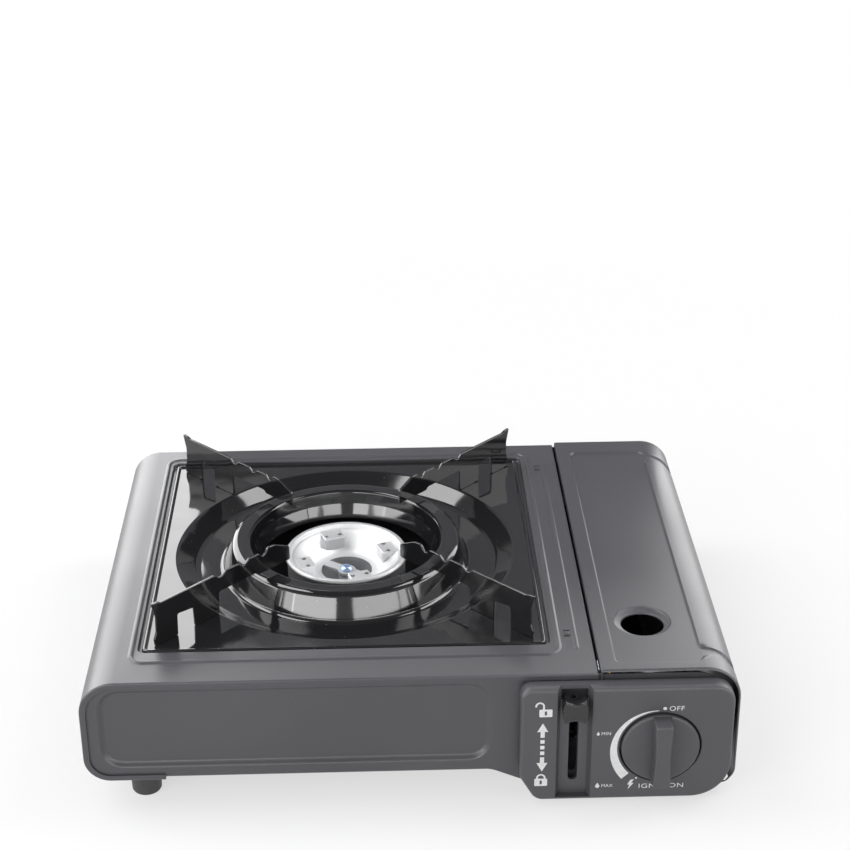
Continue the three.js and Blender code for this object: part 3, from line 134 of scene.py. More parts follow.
card_finish = bpy.data.materials.new("dark_card")
tree = blank(card_finish)
dark = node(tree, "ShaderNodeBsdfDiffuse", Color=linear("#B4B4B8"))
node(tree, "ShaderNodeOutputMaterial", Surface=dark.outputs[0])
bpy.ops.mesh.primitive_plane_add(size=1, location=(0.027, 0.19, 0.135), rotation=(math.radians(84), 0, 0))
card = bpy.context.object
card.name = "card"
card.scale = (0.33, 0.29, 1)
card.data.materials.append(card_finish)
card.visible_camera = False
card.visible_diffuse = False
card.visible_shadow = False
card.visible_transmission = False


def soft_panel(name, place, aim, width, height, power):
    lamp = bpy.data.lights.new(name, "AREA")
    lamp.shape = "RECTANGLE"
    lamp.size = width
    lamp.size_y = height
    lamp.energy = power
    stand = bpy.data.objects.new(name, lamp)
    bpy.context.scene.collection.objects.link(stand)
    stand.location = place
    stand.rotation_euler = (Vector(aim) - Vector(place)).to_track_quat("-Z", "Y").to_euler()
    stand.visible_camera = False
    return stand


def gloss_panel(*settings):
    panel = soft_panel(*settings)
    panel.visible_diffuse = False


soft_panel("softbox_left", (-1.2, 0.25, 1.46), (0, 0.1, 0.05), 0.9, 1.5, 17).visible_glossy = False
soft_panel("softbox_right", (1.3, 0.25, 1.3), (0, 0.1, 0.05), 0.7, 1.5, 12).visible_glossy = False
soft_panel("front_fill", (-1.0, -1.15, 0.75), (-0.05, 0, 0.05), 0.9, 0.8, 9.5).visible_glossy = False
gloss_panel("gloss_left", (-1.15, 0.25, 1.4), (0, 0.1, 0.05), 0.9, 1.5, 30)
gloss_panel("gloss_right", (1.25, 0.25, 1.25), (0, 0.1, 0.05), 0.7, 1.5, 22)
for side, strength in ((-1, 1.0), (1, 0.8)):
    bounce_x = side * 0.92 - 0.07
    gloss_panel("sweep", (side * 1.0, 1.3, 0.6), (side * 1.0, 0, 0.6), 1.8, 1.3, 38 * strength)
    gloss_panel("bounce", (bounce_x, -1.45, 0.42), (bounce_x, 0, 0.42), 1.44, 0.44, 16 * strength)
    gloss_panel("bounce_side", (side * 1.64, -0.6, 0.42), (0, -0.6, 0.42), 1.7, 0.44, 16 * strength)


# ---- Top shell ----
# Deck and left wall are one 0.8 mm steel sheet, folded over at the left and turned in at front and rear.
# It is pressed with a shallow square well for the drip pan, a bead round it and a long rib, then stoved
# in charcoal paint.
def only(*things):
    if bpy.context.mode != "OBJECT":
        bpy.ops.object.mode_set(mode="OBJECT")
    bpy.ops.object.select_all(action="DESELECT")
    for thing in things:
        thing.select_set(True)
    bpy.context.view_layer.objects.active = things[0]


def mm_box(name):
    low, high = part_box(name)
    return low / MM, high / MM


def mm_middle(name):
    low, high = mm_box(name)
    return [(a + b) / 2 for a, b in zip(low, high)]


def about(x, y, half_x, half_y):
    """The low and high bounds of a box round a centre."""
    return x - half_x, y - half_y, x + half_x, y + half_y


def circle(x, y, radius, sides):
    turns = [2 * math.pi * k / sides for k in range(sides)]
    return [(x + radius * math.cos(a), y + radius * math.sin(a)) for a in turns]


def rounded(corners, steps, closed=True):
    """Points along straight runs. A corner given as (x, y, radius) becomes an arc."""
    line = []
    for i, corner in enumerate(corners):
        here = Vector(corner[:2])
        if len(corner) < 3 or (not closed and i in (0, len(corners) - 1)):
            line.append(here)
            continue
        back = (Vector(corners[i - 1][:2]) - here).normalized()
        ahead = (Vector(corners[(i + 1) % len(corners)][:2]) - here).normalized()
        half = math.acos(max(-1, min(1, back.dot(ahead)))) / 2
        centre = here + (back + ahead).normalized() * corner[2] / math.sin(half)
        start = here + back * corner[2] / math.tan(half) - centre
        turn = math.copysign(math.pi - 2 * half, ahead.x * back.y - ahead.y * back.x)
        for k in range(steps + 1):
            line.append(centre + Matrix.Rotation(turn * k / steps, 2) @ start)
    return line


def oblong(x0, y0, x1, y1, radius, steps=8):
    return rounded([(x0, y0, radius), (x1, y0, radius), (x1, y1, radius), (x0, y1, radius)], steps)


def aside(line, distance):
    """An open line moved to its left."""
    moved = []
    for i, point in enumerate(line):
        came = (point - line[i - 1]).normalized() if i else (line[1] - point).normalized()
        goes = (line[i + 1] - point).normalized() if i + 1 < len(line) else came
        along = (came + goes).normalized()
        moved.append(point + Vector((-along.y, along.x)) * distance / max(along.dot(came), 0.3))
    return moved


def drawn(name, loops, axis, level, closed=True):
    """Outlines as bare edges: X and Y for a sheet facing z, X and Z for one facing y."""
    drawing = bpy.data.curves.new(name, "CURVE")
    drawing.dimensions = "3D"
    for loop in loops:
        spline = drawing.splines.new("POLY")
        spline.points.add(len(loop) - 1)
        for (a, b), knot in zip(loop, spline.points):
            place = (a, b, level) if axis == "z" else (a, level, b)
            knot.co = (*(Vector(place) * MM), 1)
        spline.use_cyclic_u = closed
    thing = bpy.data.objects.new(name, drawing)
    bpy.context.scene.collection.objects.link(thing)
    only(thing)
    bpy.ops.object.convert(target="MESH")
    bpy.context.tool_settings.mesh_select_mode = (True, False, False)
    return bpy.context.object


def along(axis, distance):
    return Vector((0, axis == "y", axis == "z")) * distance * MM


def modified(thing, kind, **settings):
    only(thing)
    modifier = thing.modifiers.new(kind.lower(), kind)
    for name, value in settings.items():
        setattr(modifier, name, value)
    bpy.ops.object.modifier_apply(modifier=modifier.name)


def whole(thing):
    """Opens a piece in edit mode with all of it selected."""
    only(thing)
    bpy.ops.object.mode_set(mode="EDIT")
    bpy.ops.mesh.select_all(action="SELECT")


def slab(name, loop, near, far, axis="z"):
    """A plate cut to an outline, from near to far along its axis."""
    thing = drawn(name, [loop], axis, near)
    whole(thing)
    bpy.ops.mesh.edge_face_add()
    bpy.ops.mesh.extrude_region_move(TRANSFORM_OT_translate={"value": along(axis, far - near)})
    bpy.ops.mesh.select_all(action="SELECT")
    bpy.ops.mesh.normals_make_consistent(inside=False)
    bpy.ops.object.mode_set(mode="OBJECT")
    return thing


def picked(thing, part, test):
    """Selects in edit mode the faces, edges or corners that pass a test on their middle and direction."""
    only(thing)
    mesh = thing.data
    spots = [corner.co / MM for corner in mesh.vertices]
    for items in (mesh.vertices, mesh.edges, mesh.polygons):
        items.foreach_set("select", [False] * len(items))
    if part == "VERT":
        for corner in mesh.vertices:
            corner.select = test(spots[corner.index], None)
    elif part == "EDGE":
        for edge in mesh.edges:
            a, b = (spots[i] for i in edge.vertices)
            edge.select = test((a + b) / 2, (b - a).normalized())
            for i in edge.vertices if edge.select else ():
                mesh.vertices[i].select = True
    else:
        for face in mesh.polygons:
            face.select = test(face.center / MM, face.normal)
    bpy.context.tool_settings.mesh_select_mode = (part == "VERT", part == "EDGE", part == "FACE")
    bpy.ops.object.mode_set(mode="EDIT")


def opened(thing, test, kind="FACE"):
    """Takes out the faces that pass a test; the kind ONLY_FACE leaves their edges."""
    picked(thing, "FACE", test)
    bpy.ops.mesh.delete(type=kind)
    bpy.ops.object.mode_set(mode="OBJECT")


def folded(thing, radius, steps, test):
    """Rounds the edges that pass a test."""
    picked(thing, "EDGE", test)
    bpy.ops.mesh.bevel(offset=radius * MM, segments=steps, affect="EDGES")
    bpy.ops.object.mode_set(mode="OBJECT")


def pressed(name, loop, steps, axis, level):
    """A sheet inside an outline, formed by (inward, upward) steps; the flat middle is left open."""
    thing = drawn(name, [loop], axis, level)
    whole(thing)
    bpy.ops.mesh.edge_face_add()
    for inward, upward in steps:
        bpy.ops.mesh.inset(thickness=inward * MM)
        bpy.ops.transform.translate(value=along(axis, upward))
    bpy.ops.mesh.delete(type="ONLY_FACE")
    bpy.ops.object.mode_set(mode="OBJECT")
    return thing


def joined(name, *things):
    only(*things)
    if len(things) > 1:
        bpy.ops.object.join()
    thing = bpy.context.object
    thing.name = thing.data.name = name
    return thing


def sheeted(thing, *tests):
    """Fills the flat area between the open edges that pass each test in turn."""
    for test in tests:
        only(thing)
        bpy.ops.object.mode_set(mode="EDIT")
        bpy.ops.mesh.select_mode(type="EDGE")
        bpy.ops.mesh.select_all(action="DESELECT")
        bpy.ops.mesh.select_non_manifold(use_wire=True, use_boundary=True, use_multi_face=False,
                                         use_non_contiguous=False, use_verts=False)
        bpy.ops.object.mode_set(mode="OBJECT")
        mesh = thing.data
        open_edges = {e.index for e in mesh.edges if e.select}
        spots = [corner.co / MM for corner in mesh.vertices]
        wanted = {e.index for e in mesh.edges if e.index in open_edges
                  and all(test(spots[i]) for i in e.vertices)}
        numbers = iter(range(len(mesh.edges)))
        picked(thing, "EDGE", lambda middle, way: next(numbers) in wanted)
        bpy.ops.mesh.fill(use_beauty=True)


def gauged(thing, thickness, face_test):
    """Turns the sheet's face outwards, by one face that must look that way, and gives it its gauge."""
    whole(thing)
    bpy.ops.mesh.remove_doubles(threshold=0.000005)
    bpy.ops.mesh.normals_make_consistent(inside=False)
    bpy.ops.object.mode_set(mode="OBJECT")
    if not any(face_test(face.center / MM, face.normal) for face in thing.data.polygons):
        whole(thing)
        bpy.ops.mesh.flip_normals()
        bpy.ops.object.mode_set(mode="OBJECT")
    modified(thing, "SOLIDIFY", thickness=thickness * MM, offset=-1, use_even_offset=True)


def polished(thing, degrees=38):
    """Smooth shading that keeps flat faces flat."""
    only(thing)
    bpy.ops.object.shade_smooth_by_angle(angle=math.radians(degrees))
    modified(thing, "WEIGHTED_NORMAL", mode="FACE_AREA", weight=60, keep_sharp=True)


shell_low, shell_high = mm_box("top_shell")
pan_low, pan_high = mm_box("drip_pan")
lid_low, lid_high = mm_box("cartridge_lid")
mid_y = mm_middle("top_shell")[1]
front_y = shell_low.y
rear_y = shell_high.y
sheet = 0.8
turned_in = 3.4
bead_height = 0.9
deck_z = shell_high.z - bead_height
seam_x = shell_high.x
wrap_end_x = -130
pan_x, pan_y = mm_middle("drip_pan")[:2]
well_half = (pan_high.x - pan_low.x) / 2 + 2.3

wrap = rounded([(seam_x, deck_z), (shell_low.x, deck_z, 19), (shell_low.x, shell_low.z, 14),
                (wrap_end_x, shell_low.z)], 14, closed=False)
inner = aside(wrap, turned_in)
top_shell = slab("top_shell", wrap + inner[::-1], front_y, rear_y, "y")


def near_line(line, x, z, reach):
    spot = Vector((x, z))
    return min((spot - a.lerp(b, t)).length for a, b in zip(line, line[1:]) for t in (0, 0.5, 1)) < reach


def at_end(at, rear):
    """Whether a point is on the front or the rear edge of a sheet that ends at rear."""
    return abs(abs(at.y - mid_y) - rear + mid_y) < 0.1


opened(top_shell, lambda at, normal: abs(normal.y) < 0.5 and (
    abs(at.x - wrap_end_x) < 0.2 or near_line(inner, at.x, at.z, 0.6)))
folded(top_shell, 1, 4, lambda at, way: near_line(wrap, at.x, at.z, 0.3) and (
    (abs(way.y) < 0.5 and at_end(at, rear_y)) or (abs(way.y) > 0.9 and at.x > seam_x - 0.1)))
opened(top_shell, lambda at, normal: normal.z > 0.999 and abs(at.z - deck_z) < 0.01)
picked(top_shell, "EDGE", lambda at, way: abs(way.y) > 0.9 and abs(at.z - deck_z + turned_in) < 0.1
       and at.x > seam_x - 0.1)
bpy.ops.mesh.extrude_region_move(TRANSFORM_OT_translate={"value": along("z", -3.6)})
bpy.ops.object.mode_set(mode="OBJECT")

well_z = deck_z - 2.5
well = about(pan_x, pan_y, well_half, well_half)
ridge = [(0.3, 0.15), (0.45, 0.45), (0.45, 0.25), (0.5, 0.05), (0.5, -0.05), (0.45, -0.25), (0.45, -0.45),
         (0.3, -0.15)]
bead_outline = oblong(well[0] - 4.6, well[1] - 11, well[2] + 5.4, well[3] + 6, 9)
bead = pressed("bead", bead_outline, ridge, "z", deck_z)
well_wall = pressed("well", oblong(*well, 4.2),
                    [(0.15, -0.1), (0.2, -0.4), (0.1, -1.5), (0.2, -0.4), (0.2, -0.1)], "z", deck_z)
well_mouth = drawn("mouth", [circle(pan_x, pan_y, 99.7, 96)], "z", well_z)
rib_x = seam_x - 9
rib_height = 0.8
rib = pressed("rib", oblong(rib_x - 1.6, mid_y - 109, rib_x + 1.6, mid_y + 107, 1.5, 5),
              [(0.3, 0.2), (0.4, 0.4), (0.4, 0.2)], "z", deck_z)


# The heat shield's two tabs come up under lanced bridges beside the rib.
bridge_x = seam_x - 12.8
bridge_height = 0.6


def lanced_bridge(y):
    slots = [oblong(*about(bridge_x, y + side * 2.7, 1.8, 0.5), 0.3, 2) for side in (-1, 1)]
    bridge = pressed("bridge", oblong(*about(bridge_x, y, 1.5, 1.8), 0.6, 2), [(0.2, 0.3), (0.3, 0.3)],
                     "z", deck_z)
    return drawn("slots", slots, "z", deck_z), bridge


top_shell = joined("top_shell", top_shell, bead, well_wall, well_mouth, rib, *lanced_bridge(mid_y - 93.2),
                   *lanced_bridge(mid_y + 99.7))


def in_bead(co):
    return (well[0] - 3 < co.x < well[2] + 4 and well[1] - 9.4 < co.y < well[3] + 4.4
            and not near_line(bead_outline, co.x, co.y, 0.1))


sheeted(
    top_shell,
    lambda co: abs(co.z - deck_z) < 0.02 and not in_bead(co),
    lambda co: abs(co.z - deck_z) < 0.02 and in_bead(co),
    lambda co: abs(co.z - well_z) < 0.02 and in_bead(co),
    lambda co: abs(co.z - deck_z - rib_height) < 0.02 and abs(co.x - rib_x) < 2,
    lambda co: abs(co.z - deck_z - bridge_height) < 0.02 and abs(co.x - bridge_x) < 2)
gauged(top_shell, sheet, lambda at, normal: normal.z > 0.99 and abs(at.z - deck_z) < 0.1)
polished(top_shell)


def started(name):
    """A new material, its empty node tree, and the place of each point on its piece."""
    material = bpy.data.materials.new(name)
    tree = blank(material)
    return material, tree, node(tree, "ShaderNodeTexCoord").outputs["Object"]


def noise(tree, place, scale, detail, roughness=0.5):
    return node(tree, "ShaderNodeTexNoise", Vector=place, Scale=scale, Detail=detail,
                Roughness=roughness).outputs["Fac"]


def two_tone(tree, share, *tones):
    """A mix of two tones. A tone is a hex colour or another node's output."""
    first, second = (linear(tone) if isinstance(tone, str) else tone for tone in tones)
    return node(tree, "ShaderNodeMix", {"data_type": "RGBA"}, Factor=share, _6=first, _7=second).outputs[2]


def surfaced(material, height, strength, depth, **settings):
    """Ends a material with one surface over a bump, whose depth is in metres."""
    tree = material.node_tree
    bump = node(tree, "ShaderNodeBump", Strength=strength, Distance=depth, Height=height)
    skin = node(tree, "ShaderNodeBsdfPrincipled", Normal=bump.outputs[0], **settings)
    node(tree, "ShaderNodeOutputMaterial", Surface=skin.outputs[0])
    return material


# Stoving paint on pressed steel: satin charcoal with a faint orange peel and a few pale dust specks.
body_paint, tree, place = started("stoving_paint_charcoal")
cloud = noise(tree, place, 14, 3)
peel = noise(tree, place, 520, 2, 0.4)
grit = node(tree, "ShaderNodeTexVoronoi", Vector=place, Scale=260).outputs["Distance"]
shade = two_tone(tree, cloud, "#444448", "#4D4D51")
dusted = two_tone(tree, ramp(tree, grit, 0.35, 0, 0.03, 0.06), shade, "#8A8A8C")
surfaced(body_paint, peel, 0.16, 0.00012, Base_Color=dusted, Roughness=ramp(tree, cloud, 0.35, 0.42, 0.3, 0.7),
         IOR=1.5)


def fitted(thing, finish, slot, body, *nodes):
    """Gives a finished piece its material and its place on the frame."""
    thing.data.materials.clear()
    thing.data.materials.append(finish)
    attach(thing, body)
    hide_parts(*nodes)


fitted(top_shell, body_paint, "body_paint", "stove", "top_shell")


# ---- Base tray ----
# Floor, front wall and rear wall are one folded 0.8 mm steel sheet under the shell, in the same paint.
# The floor steps down on the cartridge side; the front wall carries a shallow pressed panel.
tray_low, tray_high = mm_box("base_tray")
tray_front = tray_low.y
tray_rear = tray_high.y
burner_floor_z = tray_low.z + 11.3
floor_end_x = -156
floor_edge_z = 24
tray_outline = rounded([
    (tray_low.x, burner_floor_z, 12.9), (floor_end_x, burner_floor_z), (42, burner_floor_z, 14),
    (68, tray_low.z, 12), (149, tray_low.z, 3), (154.5, tray_low.z + 3.6, 2),
    (tray_high.x, tray_low.z + 3.6, 3), (tray_high.x, floor_edge_z), (tray_high.x, tray_high.z, 18),
    (tray_low.x, tray_high.z, 17.9)], 10)
base_tray = slab("base_tray", tray_outline, tray_front, tray_rear, "y")
opened(base_tray, lambda at, normal: abs(normal.y) < 0.5 and (
    at.x < floor_end_x or normal.z > 0.1 or (at.x > 160 and at.z > floor_edge_z)))
folded(base_tray, 1.3, 4, lambda at, way: abs(way.y) < 0.5 and at_end(at, tray_rear) and at.x > floor_end_x
       and at.z < floor_edge_z and near_line(tray_outline, at.x, at.z, 0.2))
opened(base_tray, lambda at, normal: abs(normal.y) > 0.999
       or (abs(at.z - burner_floor_z) < 0.01 and normal.z < -0.999), "ONLY_FACE")

knob_low, knob_high = mm_box("control_knob")
knob_x, _, knob_z = mm_middle("valve_spindle")
slot_x = mm_middle("lever_arm")[0] - 2.0


def round_hole(name, x, y, radius, axis, level, sides=48):
    return drawn(name, [circle(x, y, radius, sides)], axis, level)


panel_depth = 2.2
panel = pressed("panel", oblong(-163.5, 23.1, 42.2, 72.2, 12.2, 10),
                [(0.5, 0.12), (0.6, 0.45), (0.7, 0.68), (0.7, 0.6), (0.6, 0.28), (0.5, 0.07)], "y", tray_front)
vents = [oblong(*about(pan_x + k * 22, 47, 2.5, 13), 2.4, 4) for k in (-2.5, -1.5, -0.5, 0.5, 1.5, 2.5)]
vents += [oblong(*about(130 + k * 16, 43, 2.5, 13), 2.4, 4) for k in (-1, 0, 1)]
floor_vents = [oblong(*about(pan_x + i * 40, pan_y + j * 45, 3, 16), 2.9, 4)
               for i in (-1, 0, 1) for j in (-1, 1)]
base_tray = joined(
    "base_tray", base_tray, panel, drawn("vents", vents, "y", tray_rear),
    drawn("floor_vents", floor_vents, "z", burner_floor_z),
    round_hole("knob_window", knob_x, knob_z, 21, "y", tray_front),
    drawn("lever_window", [oblong(slot_x - 2.6, 15.5, slot_x + 2.6, 63, 2.5, 4)], "y", tray_front))
sheeted(
    base_tray,
    lambda co: abs(co.y - tray_front) < 0.02,
    lambda co: abs(co.y - tray_rear) < 0.02,
    lambda co: abs(co.y - tray_front - panel_depth) < 0.02 and co.z > 21,
    lambda co: abs(co.z - burner_floor_z) < 0.02 and co.x < 60)
gauged(base_tray, sheet, lambda at, normal: normal.y < -0.99 and abs(at.y - tray_front) < 0.1)
polished(base_tray)
fitted(base_tray, body_paint, "body_paint", "stove", "base_tray")


# ---- Heat shield, brackets and cradle ----
# Plain folded strips of zinc-plated steel inside the body, spot welded to the tray. The heat shield
# stands between burner and cartridge. Their sheared edges are just broken.
def broken(thing, width, steps, degrees):
    """Rounds every edge that is sharper than an angle."""
    modified(thing, "BEVEL", width=width * MM, segments=steps, limit_method="ANGLE",
             angle_limit=math.radians(degrees), use_clamp_overlap=True)


def refined(name, finish, slot, body, edge=0.2, degrees=38):
    """A finished copy of a CAD piece: its corners merged, its sharp edges broken, its rounds smoothed."""
    only(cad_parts[name])
    bpy.ops.object.duplicate()
    piece = bpy.context.object
    piece.parent = None
    for key in list(piece.keys()):
        if key.startswith("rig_"):
            del piece[key]
    piece.name = piece.data.name = name + "_piece"
    bpy.context.tool_settings.mesh_select_mode = (True, False, False)
    whole(piece)
    bpy.ops.mesh.remove_doubles(threshold=0.000004)
    bpy.ops.mesh.dissolve_limited(angle_limit=math.radians(0.4))
    bpy.ops.object.mode_set(mode="OBJECT")
    if edge:
        broken(piece, edge, 2, 50)
    polished(piece, degrees)
    fitted(piece, finish, slot, body, name)


# Zinc-plated steel: bright grey with a fine, cloudy spangle and a little rolling grain.
zinc_steel, tree, place = started("zinc_plated_steel")
spangle = node(tree, "ShaderNodeTexVoronoi", Vector=place, Scale=320).outputs["Color"]
grain = noise(tree, place, 900, 3)
surfaced(zinc_steel, grain, 0.2, 0.00006, Base_Color=two_tone(tree, spangle, "#A9ACAF", "#BFC1C3"),
         Roughness=ramp(tree, grain, 0.26, 0.46), Metallic=1.0)
for name in ("heat_shield", "burner_bracket", "valve_bracket", "lever_bracket", "link_guide",
             "cartridge_cradle"):
    refined(name, zinc_steel, "zinc_steel", "stove")


# ---- Cartridge lid ----
# A 0.8 mm steel sheet in the body's paint, rolled over the right side, curled under at its hinge and turned
# down at its ends. Its top has a pressed field that runs on over the roll as two grooves, and a dished hole.
lid_front = lid_low.y
lid_rear = lid_high.y
lid_z = lid_high.z
hinge_x, _, hinge_z = mm_middle("lid_hinge_pin_front")
curl = lid_high.x - hinge_x
roll = 19
roll_x = lid_high.x - roll
roll_z = lid_z - roll
lid_line = rounded([(lid_low.x, lid_z), (lid_high.x, lid_z, roll), (lid_high.x, hinge_z)], 14, closed=False)
lid_line += [Vector((hinge_x + curl * math.cos(a), hinge_z + curl * math.sin(a)))
             for a in (-math.pi / 4 * k / 5 for k in range(1, 6))]
ear = [Vector((hinge_x + (curl - 0.3) * math.cos(a), hinge_z + (curl - 0.3) * math.sin(a)))
       for a in (math.radians(-60 - 16 * k) for k in range(15))]
inner_edge = [p for p in aside(lid_line, -6) if p.y > 26]
lid = slab("cartridge_lid", lid_line + ear + inner_edge[::-1], lid_front, lid_rear, "y")
opened(lid, lambda at, normal: abs(normal.y) < 0.5 and abs(at.x - lid_low.x) > 0.1 and not (
    near_line(lid_line, at.x, at.z, 0.12) and not near_line(ear, at.x, at.z, 0.2)))
folded(lid, 1.2, 4, lambda at, way: near_line(lid_line, at.x, at.z, 0.12) and (
    (abs(way.y) < 0.5 and at_end(at, lid_rear) and at.x > lid_low.x + 0.3)
    or (abs(way.y) > 0.9 and at.x < lid_low.x + 0.1)))
opened(lid, lambda at, normal: abs(normal.y) > 0.999, "ONLY_FACE")

# The press tool's shape, laid out flat: s runs across the lid's top and on down over the roll. The upright
# side's points lie at wall_s less their height.
wall_s = roll_x + roll * math.pi / 2 + roll_z
field = (107, mid_y - 125, 153, mid_y + 117)
grooves = [(150, mid_y + y, wall_s - 26, mid_y + y + 6.5) for y in (-119, 105.5)]


def outside(box, corner, s, y):
    """How far a point lies outside a round-cornered box; inside it is below nothing."""
    x0, y0, x1, y1 = box
    dx = abs(s - (x0 + x1) / 2) - (x1 - x0) / 2 + corner
    dy = abs(y - (y0 + y1) / 2) - (y1 - y0) / 2 + corner
    return math.hypot(max(dx, 0), max(dy, 0)) + min(max(dx, dy), 0) - corner


def press_depth(s, y):
    apart = outside(field, 4, s, y)
    for groove in grooves:
        other = outside(groove, 1.5, s, y)
        blend = max(5 - abs(apart - other), 0) / 5
        apart = min(apart, other) - blend * blend * 5 / 4
    share = min(max((0.55 - apart) / 1.1, 0), 1)
    return share * share * (3 - 2 * share)


cut_step = 0.4


def steps_between(start, end):
    return [start + cut_step * k for k in range(int((end - start) / cut_step) + 1)]


cuts = (
    (Vector((0, 1, 0)), steps_between(mid_y - 126.4, mid_y - 105) + steps_between(mid_y + 98, mid_y + 118.2)),
    (Vector((1, 0, 0)), steps_between(105.8, 110.6) + steps_between(147.6, 153.3)),
    (Vector((0, 0, 1)), steps_between(24.8, 28)))
only(lid)
bpy.ops.object.mode_set(mode="EDIT")
for way, places in cuts:
    for place in places:
        bpy.ops.mesh.select_all(action="SELECT")
        bpy.ops.mesh.bisect(plane_co=way * place * MM, plane_no=way)
bpy.ops.object.mode_set(mode="OBJECT")
for corner in lid.data.vertices:
    x, y, z = corner.co / MM
    if z > lid_z - 0.01:
        s, inward = x, Vector((0, 0, -1))
    elif z > roll_z and x > roll_x:
        s = roll_x + roll * math.atan2(x - roll_x, z - roll_z)
        inward = Vector((roll_x - x, 0, roll_z - z)) / roll
    elif x > lid_high.x - 0.01:
        s, inward = wall_s - z, Vector((-1, 0, 0))
    else:
        continue
    corner.co += inward * press_depth(s, y) * MM
field_z = lid_z - 1.0
opened(lid, lambda at, normal: abs(at.z - field_z) < 0.01 and abs(at.x - 129.5) < 10
       and abs(at.y - mid_y) < 20, "ONLY_FACE")

dish = pressed("dish", circle(126.5, mid_y - 83.5, 15.6, 72),
               [(0.12, -0.06), (0.14, -0.3), (0.2, -0.55), (0.5, -0.4), (1.6, -0.5), (0.9, -0.1), (0.3, -0.2),
                (0.2, -0.5), (0.1, -0.6)], "z", field_z)
lid = joined("cartridge_lid", lid, dish,
             round_hole("front_eye", hinge_x, hinge_z, 1.8, "y", lid_front, 20),
             round_hole("rear_eye", hinge_x, hinge_z, 1.8, "y", lid_rear, 20))
sheeted(
    lid,
    lambda co: abs(co.z - field_z) < 0.02 and co.x < 153,
    lambda co: abs(co.y - lid_front) < 0.02,
    lambda co: abs(co.y - lid_rear) < 0.02)
gauged(lid, sheet, lambda at, normal: normal.z > 0.99 and abs(at.z - lid_z) < 0.1)
polished(lid)
fitted(lid, body_paint, "body_paint", "lid", "cartridge_lid")

for name in ("lid_hinge_pin_front", "lid_hinge_pin_rear"):
    refined(name, zinc_steel, "zinc_steel", "stove", 0.15)
refined("lid_catch", zinc_steel, "zinc_steel", "stove", 0.08)


# ---- Control box ----
# A moulded ABS cover with a fine spark-eroded grain, screwed over the front wall from inside. It has a
# dished seat for the knob and a tapering channel with a slot for the lock lever; its marks are printed.
def cut_away(thing, *tools):
    for tool in tools:
        modified(thing, "BOOLEAN", operation="DIFFERENCE", solver="EXACT", object=tool)
        bpy.data.objects.remove(tool)
    return thing


def fused(thing, *others):
    for other in others:
        modified(thing, "BOOLEAN", operation="UNION", solver="EXACT", object=other)
        bpy.data.objects.remove(other)


def rectangle(x0, y0, x1, y1):
    return [(x0, y0), (x1, y0), (x1, y1), (x0, y1)]


def spun(name, section, centre, axis, steps):
    """A round piece: its section, as radius and height, spun about an axis through its centre."""
    x, y, z = centre
    facing_axis, level = ("y", y) if axis == "z" else ("z", z)
    thing = drawn(name, [[(x + r, h) for r, h in section]], facing_axis, level, section[0][0] > 0.001)
    whole(thing)
    bpy.ops.mesh.spin(steps=steps, angle=2 * math.pi, center=Vector(centre) * MM,
                      axis=along(axis, 1).normalized())
    bpy.ops.mesh.select_all(action="SELECT")
    bpy.ops.mesh.remove_doubles(threshold=0.000003)
    bpy.ops.mesh.normals_make_consistent(inside=False)
    bpy.ops.object.mode_set(mode="OBJECT")
    return thing


box_low, box_high = mm_box("control_box")
face_y = box_low.y
box_wall = 2.2


def box_line(inset):
    left, right, low, high = (box_low.x + inset, box_high.x - inset, box_low.z + inset, box_high.z - inset)
    return rounded([(left, high, 6 - inset), (left, 18, 9 - inset), (65 + inset, low, 7 - inset),
                    (right, low, 21 - inset), (right, high, 11 - inset)], 12)


control_box = slab("control_box", box_line(0), face_y, box_high.y, "y")
folded(control_box, 2.2, 6, lambda at, way: abs(at.y - face_y) < 0.01 and abs(way.y) < 0.5)
cut_away(control_box, slab("box_inside", box_line(box_wall), face_y + box_wall, box_high.y + 1, "y"))

channel_low = 5.2
seat_radius = (knob_high.x - knob_low.x) / 2 + 0.8
channel_back = slab("channel_back", rectangle(slot_x - 10.2, channel_low - 1.2, slot_x + 10.2, box_high.z - 1),
                    face_y + 1.5, face_y + 5.8, "y")
channel = slab("channel", [(slot_x - 9.25, face_y - 0.5), (slot_x + 9.25, face_y - 0.5),
                           (slot_x + 9.25, face_y), (slot_x + 7.3, face_y + 4), (slot_x - 7.3, face_y + 4),
                           (slot_x - 9.25, face_y)], channel_low, box_high.z + 2)
arm_slot = slab("arm_slot", oblong(slot_x - 2.5, 13.6, slot_x + 2.5, 66, 2.3, 6), face_y - 1, face_y + 12, "y")
arm_window = slab("arm_window", oblong(slot_x - 7, 64, slot_x + 7, box_high.z - 2.2, 0.8, 3),
                  face_y + 3, face_y + 12, "y")
seat_wall = spun("seat_wall", rectangle(seat_radius - 1, face_y + 1.2, seat_radius + 2, box_high.y - 2.7),
                 (knob_x, 0, knob_z), "y", 96)
seat = spun("seat", [
    (0, face_y - 1), (seat_radius + 0.9, face_y - 1), (seat_radius + 0.5, face_y + 0.02),
    (seat_radius + 0.1, face_y + 0.3), (seat_radius, face_y + 0.8), (seat_radius, box_high.y + 4),
    (0, box_high.y + 4)], (knob_x, 0, knob_z), "y", 96)
fused(control_box, channel_back, seat_wall)
cut_away(control_box, channel, arm_slot, arm_window, seat)
broken(control_box, 0.3, 2, 48)
polished(control_box)


def textured(name, tones, gloss, grain, tint, strength, depth, **settings):
    """A fine grain over two clouded tones; grain and tint each hold a noise's settings."""
    material, tree, place = started(name)
    skin = noise(tree, place, *grain)
    shade = two_tone(tree, noise(tree, place, *tint), *tones)
    rough = ramp(tree, skin, gloss - 0.06, gloss + 0.08, 0.3, 0.7)
    return surfaced(material, skin, strength, depth, Base_Color=shade, Roughness=rough, **settings)


